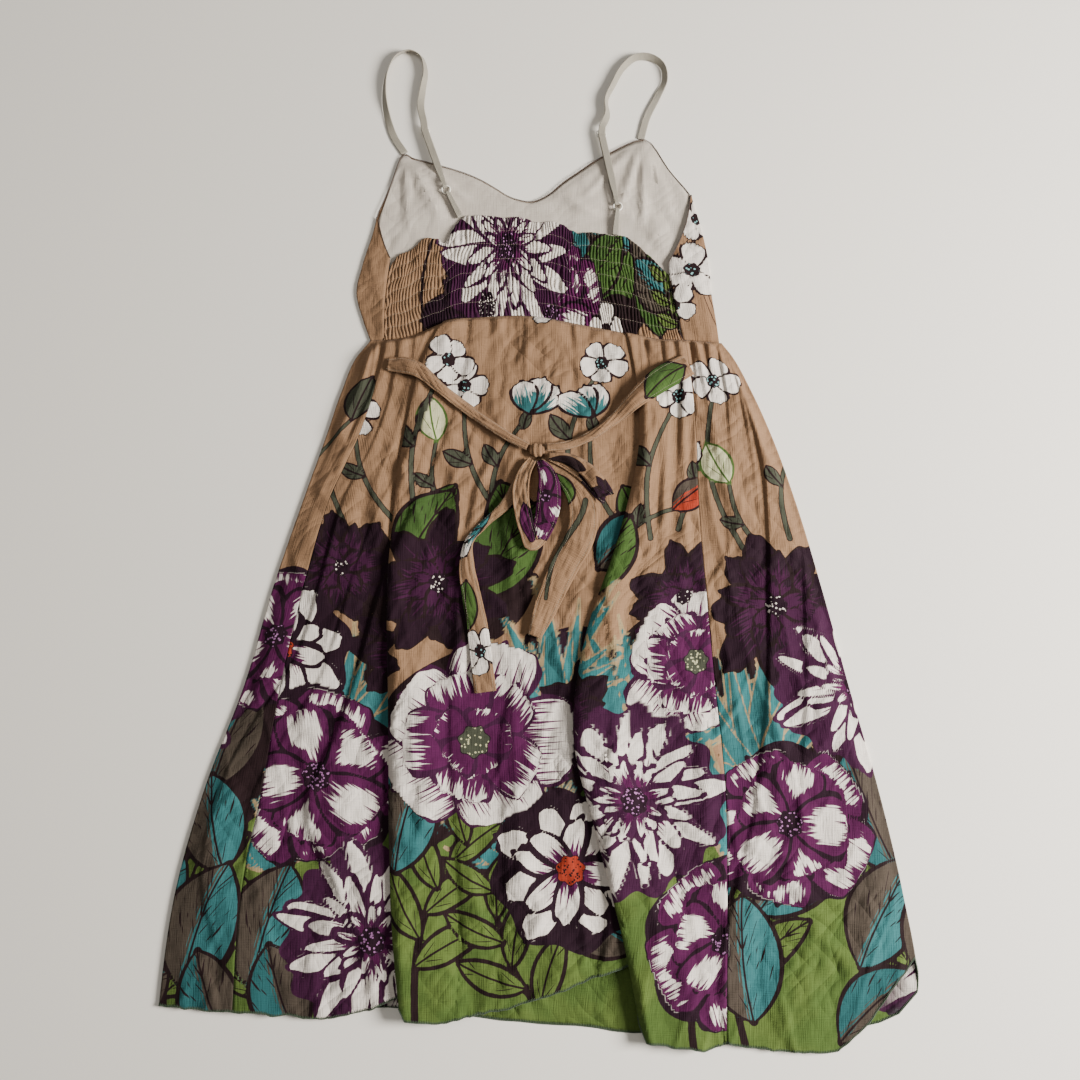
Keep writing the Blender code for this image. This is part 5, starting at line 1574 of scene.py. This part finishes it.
def torus_mesh(name, paths, radius):
    """Closed wires, each of them one tube."""
    points, faces = [], []
    for path in paths:
        rings = tube_points(path, radius)
        n, m = rings.shape[:2]
        start = len(points)
        points += rings.reshape(-1, 3).tolist()
        for i in range(n):
            for j in range(m):
                a, b = i * m + j, i * m + (j + 1) % m
                c, d = (i + 1) % n * m + (j + 1) % m, (i + 1) % n * m + j
                faces.append((start + a, start + b, start + c, start + d))
    return facing_out(smooth_mesh(name, points, faces))


def rounded_frame(length, width, corner, place, heading):
    """A closed rectangle with round corners, turned along the strap."""
    marks = []
    for k, (sx, sy) in enumerate(((1, 1), (-1, 1), (-1, -1), (1, -1))):
        for step in range(7):
            angle = math.radians(90 * k + 15 * step)
            x, y = sx * (length / 2 - corner), sy * (width / 2 - corner)
            marks.append((x + corner * math.cos(angle), y + corner * math.sin(angle)))
    x, y = np.array(marks).T
    c, s = math.cos(heading), math.sin(heading)
    return stacked(place[0] + x * c - y * s, place[1] + x * s + y * c, place[2])


# %% Straps, tabs, rings and adjusters
for side, hardware in HARDWARE.items():
    path, width, roll = strap_route(STRAPS[side], hardware)
    add_piece(ribbon_mesh(f"strap_{side}_ribbon", path, width, roll), ELASTIC, f"strap_{side}")
    path, width = tab_route(hardware)
    add_piece(ribbon_mesh(f"strap_tab_{side}_ribbon", path, width, 0 * width), ELASTIC, f"strap_tab_{side}")
    angle = np.linspace(0, 2 * math.pi, 64, endpoint=False)
    circle = np.array(hardware.ring) + RING_RADIUS * stacked(np.cos(angle), np.sin(angle), 0)
    add_piece(torus_mesh(f"strap_ring_{side}_wire", [circle], RING_WIRE), WIRE, f"strap_ring_{side}")
    ahead = np.subtract(hardware.ring, hardware.slider)
    heading, wide = math.atan2(ahead[1], ahead[0]), SLIDER_WIDTH - SLIDER_BAR
    frames = [
        rounded_frame(SLIDER_LENGTH - SLIDER_BAR, wide, 1.6, hardware.slider, heading),
        rounded_frame(SLIDER_BAR * 0.55, wide, SLIDER_BAR * 0.25, hardware.slider, heading),
    ]
    slider = torus_mesh(f"strap_adjuster_{side}_wire", frames, SLIDER_BAR / 2)
    add_piece(slider, WIRE, f"strap_adjuster_{side}")

# %% [markdown]
# ## Sewing
# Stitches repeat along a seam, so Geometry Nodes lay them. One tree takes a path, a pitch, the length and
# radius of a stitch, how far it turns from the path, and the thread. Running stitches keep to the path.
# Overlock turns them across the edge and runs a thicker thread along it.


# %% The stitching tree
def stitching_tree():
    """Geometry Nodes that lay a stitch at each mark of a path, and a thread along the path."""
    tree = bpy.data.node_groups.new("stitches", "GeometryNodeTree")
    nodes = Nodes(tree)
    for name, kind in (
        ("Path", "Geometry"), ("Pitch", "Float"), ("Length", "Float"), ("Radius", "Float"), ("Turn", "Float"),
        ("Sway", "Float"), ("Core", "Float"), ("Seed", "Int"), ("Thread", "Material"),
    ):
        tree.interface.new_socket(name, in_out="INPUT", socket_type=f"NodeSocket{kind}")
    tree.interface.new_socket("Stitches", in_out="OUTPUT", socket_type="NodeSocketGeometry")
    given = nodes.add("NodeGroupInput").outputs
    curve = nodes.out("GeometryNodeMeshToCurve", sockets={"Mesh": given["Path"]})
    spaced = {"Curve": curve, "Length": given["Pitch"]}
    marks = nodes.add("GeometryNodeCurveToPoints", {"mode": "LENGTH"}, spaced).outputs

    align, tangent = "FunctionNodeAlignRotationToVector", marks["Tangent"]
    level = nodes.out(align, {"axis": "X"}, {"Vector": tangent})
    upright = nodes.out(align, {"axis": "Z", "pivot_axis": "X"}, {"Rotation": level, "Vector": (0, 0, 1)})
    turn, sway = Value(nodes, given["Turn"]), Value(nodes, given["Sway"])
    limits = {2: turn - sway, 3: turn + sway, "Seed": given["Seed"]}
    dice = nodes.add("FunctionNodeRandomValue", {"data_type": "FLOAT"}, limits).outputs[1]
    spin = nodes.out("FunctionNodeEulerToRotation", sockets={0: nodes.vector(0, 0, dice)})
    both = {"Rotation": upright, "Rotate By": spin}
    turned = nodes.out("FunctionNodeRotateRotation", {"rotation_space": "LOCAL"}, both)

    ball = nodes.out("GeometryNodeMeshUVSphere", sockets={"Segments": 6, "Rings": 4, "Radius": 0.5})
    thick = Value(nodes, given["Radius"]) * 2.0
    sizes = {"Geometry": ball, "Scale": nodes.vector(given["Length"], thick, thick)}
    stitch = nodes.out("GeometryNodeTransform", sockets=sizes)
    copies = {"Points": marks["Points"], "Instance": stitch, "Rotation": turned}
    laid = nodes.out("GeometryNodeInstanceOnPoints", sockets=copies)
    cut = {"Resolution": 8, "Radius": given["Core"]}
    profile = nodes.out("GeometryNodeCurvePrimitiveCircle", sockets=cut)
    swept = {"Curve": curve, "Profile Curve": profile, "Fill Caps": True}
    cord = nodes.out("GeometryNodeCurveToMesh", sockets=swept)
    joined = nodes.add("GeometryNodeJoinGeometry")
    for part in (laid, cord):
        tree.links.new(part, joined.inputs[0])
    real = nodes.out("GeometryNodeRealizeInstances", sockets={0: joined.outputs[0]})
    rounded = nodes.out("GeometryNodeSetShadeSmooth", sockets={0: real})
    dyed = {"Geometry": rounded, "Material": given["Thread"]}
    nodes.add("NodeGroupOutput", sockets={0: nodes.out("GeometryNodeSetMaterial", sockets=dyed)})
    return tree


STITCHES = stitching_tree()
Stitch = namedtuple("Stitch", "pitch length radius turn sway core", defaults=(0.05,))
OVERLOCK, HEM_EDGE = Stitch(1.6, 3.0, 0.34, 90, 8), Stitch(1.6, 1.9, 0.5, 60, 8, 0.42)
ELASTIC_STITCH, EDGING = Stitch(2.9, 2.0, 0.15, 0, 14, 0.03), Stitch(1.5, 1.4, 0.38, 70, 10, 0.38)
CUP_STITCH, SASH_STITCH = Stitch(2.2, 1.6, 0.18, 0, 6), Stitch(2.6, 1.7, 0.16, 0, 6)


def sew(name, paths, stitch, thread):
    """Stitches along paths in millimetres, as one piece that rides with the dress."""
    edges, start = [], 0
    for path in paths:
        edges += [(start + k, start + k + 1) for k in range(len(path) - 1)]
        start += len(path)
    guide = linked(f"{name}_guide", smooth_mesh(name, np.concatenate(paths), [], edges))
    modifier = guide.modifiers.new("sew", "NODES")
    modifier.node_group = STITCHES
    sizes = {
        "Pitch": stitch.pitch * MM, "Length": stitch.length * MM, "Radius": stitch.radius * MM,
        "Turn": math.radians(stitch.turn), "Sway": math.radians(stitch.sway), "Core": stitch.core * MM,
        "Seed": len(name), "Thread": thread,
    }
    for item in STITCHES.interface.items_tree:
        if item.in_out == "INPUT" and item.name in sizes:
            modifier[item.identifier] = sizes[item.name]
    sewn = bpy.data.meshes.new_from_object(guide.evaluated_get(bpy.context.evaluated_depsgraph_get()))
    bpy.data.meshes.remove(guide.data)
    sewn.name = name
    return riding(sewn)


def thread(name, colour):
    """Matt cotton thread, darker here and there."""
    material, nodes = new_material(name)
    worn = nodes.noise(nodes.place(), 900.0)
    colour = nodes.mix(worn, colour, tuple(0.7 * c for c in colour))
    nodes.finish(colour, 0.6 + 0.1 * worn, Sheen_Weight=0.2)
    return material


HEM_THREAD = thread("overlock_thread", ink("263A1E"))
PALE_THREAD = thread("pale_thread", ink("A1947F"))
BROWN_THREAD = thread("brown_edging", ink("463228"))


# %% Hem, elastic rows and edges
CUP_SEAM_X, CUP_SEAM_ROWS = -20, slice(84, 119)


def outside(panel, proud=CLOTH / 2, outward=-1):
    """The outer surface of a piece, on its panel's grid."""
    return panel.points + grid_normals(panel.points) * outward * proud


def no_lower(line, level):
    """A line lifted where it runs below a level."""
    return np.maximum(line, [-np.inf, -np.inf, level])


def columns_on(*runs):
    """The grid's columns that lie on some runs of the bodice front."""
    return bodice_points[[k for k, (run, _) in enumerate(bodice_columns) if run in runs]]


sewing = {"skirt_back": [], "skirt_front": []}
for kind, stitch, above in (("hem_overlock", OVERLOCK, 0.9), ("hem_edge", HEM_EDGE, 0.0)):
    for side, panel in (("back", skirt_back), ("front", skirt_front)):
        hem = no_lower(outside(panel)[:, -1], 0.6) + [0, above, 0]
        sewing[f"skirt_{side}"].append(sew(f"{kind}_{side}", [hem], stitch, HEM_THREAD))

ribbed = outside(shirred_back, outward=1)
row_places = [round((k + 0.02) / SHIRR_ROWS * (len(SHIRRED_ROWS) - 1)) for k in range(1, SHIRR_ROWS)]
elastic_rows = [ribbed[:, place] + [0, 0, 0.1] for place in row_places]
sewing["bodice_back_shirred"] = [sew("elastic_rows", elastic_rows, ELASTIC_STITCH, PALE_THREAD)]

neck = no_lower(columns_on("right_roll", "under", "left_roll")[:, -1], LINING_LEVEL) + [0, 0, CLOTH / 2 + 0.1]
edges = [neck] + [columns_on(run)[:, -1] + [0, 0, 0.2] for run in ("right_wrap", "left_wrap")]
sewing["bodice_front"] = [sew("neck_and_arm_edging", edges, EDGING, BROWN_THREAD)]

cup_seam = np.abs(lining_points[:, -1, 0] - CUP_SEAM_X).argmin()
cup_line = outside(bodice_lining, outward=1)[cup_seam, CUP_SEAM_ROWS]
cup_lines = [cup_line + [aside, 0, 0.1] for aside in (-1.2, 1.2)]
sewing["bodice_lining"] = [sew("cup_seam", cup_lines, CUP_STITCH, PALE_THREAD)]

for name, panel in sashes.items():
    top = outside(panel, SASH_WALL / 2)
    lines = [top[:, 2] + [0, 0, 0.05], top[:, -3] + [0, 0, 0.05]]
    sewing[name] = [sew(f"{name}_stitches", lines, SASH_STITCH, PALE_THREAD)]

# %% [markdown]
# ## What each sheet was cut to
# Each piece of cloth prints the area of its cut beside the flat size of its sheet, and each stretch of the
# sash prints its width and length. A gathered piece was cut larger than it now measures.

# %% Sheets
Cut = namedtuple("Cut", "piece panel width length fullness held rests_on")
CUTS = (
    Cut("skirt_back", skirt_back, 0.80, 0.735, 1.12, "gathered", ["skirt_front", "bodice_front"]),
    Cut("skirt_front", skirt_front, 1.16, 0.735, 1.10, "gathered", ["floor"]),
    Cut("bodice_front", bodice_front, 0.54, 0.245, 1.03, "laid", ["floor"]),
    Cut("bodice_lining", bodice_lining, 0.38, 0.235, 1.03, "laid", ["bodice_front"]),
    Cut("bodice_back_shirred", shirred_back, 0.56, 0.155, 1.30, "gathered", ["bodice_lining"]),
)
for cut in CUTS:
    area = min(cut.panel.area() * cut.fullness, cut.width * cut.length)
    print(cut.piece, "cut area", round(area, 3), "of", round(cut.width * cut.length, 3))
for name, panel in sashes.items():
    length = float(panel.flat[-1, 0, 0] - panel.flat[0, 0, 0]) * MM
    width = panel.area() / length
    print(name, "band", round(width, 4), "by", round(length, 3))

# %% [markdown]
# ## Floor, light and camera
# The dress lies on a plain pale surface under soft daylight. A lamp from the side gives the creases their
# shade, and a weaker one above fills it. The camera stands where the photograph was taken from, tilted ten
# degrees from straight down.

# %% Floor
FLOOR_HALF = 3
floor_mesh = bpy.data.meshes.new("floor")
corners = [(x * FLOOR_HALF, y * FLOOR_HALF, 0) for x, y in ((-1, -1), (1, -1), (1, 1), (-1, 1))]
floor_mesh.from_pydata(corners, [], [(0, 1, 2, 3)])
material, nodes = new_material("pale_floor")
nodes.finish(ink("EBE5DA"), 0.9)
floor_mesh.materials.append(material)
linked("floor", floor_mesh)

# %% Light
world = bpy.data.worlds.new("soft_room")
world.use_nodes = True
sky = world.node_tree.nodes["Background"].inputs
sky["Color"].default_value = (1.0, 0.985, 0.96, 1)
sky["Strength"].default_value = 0.19
bpy.context.scene.world = world


def lamp(name, place, size, power):
    """A round soft lamp that shines at the middle of the dress."""
    light = bpy.data.lights.new(name, "AREA")
    light.shape, light.size, light.energy = "DISK", size, power
    light.color = (1.0, 0.98, 0.95)
    holder = linked(name, light)
    holder.location = place
    x, y, z = (-value for value in place)
    holder.rotation_euler = (math.atan2(math.hypot(x, y), -z), 0, math.atan2(y, x) - math.pi / 2)


lamp("window", (2.0, -0.2, 1.15), 0.9, 170.0)
lamp("ceiling", (-0.5, 0.6, 2.4), 1.6, 12.0)

# %% Camera
EYE_PLACE, EYE_TILT = (0.000593, -0.2267, 1.1092), 10
camera = bpy.data.cameras.new("camera")
camera.sensor_width, camera.lens = 36.0, 36.1
eye = linked("camera", camera)
eye.location = EYE_PLACE
eye.rotation_euler = (math.radians(EYE_TILT), 0, 0)
bpy.context.scene.camera = eye
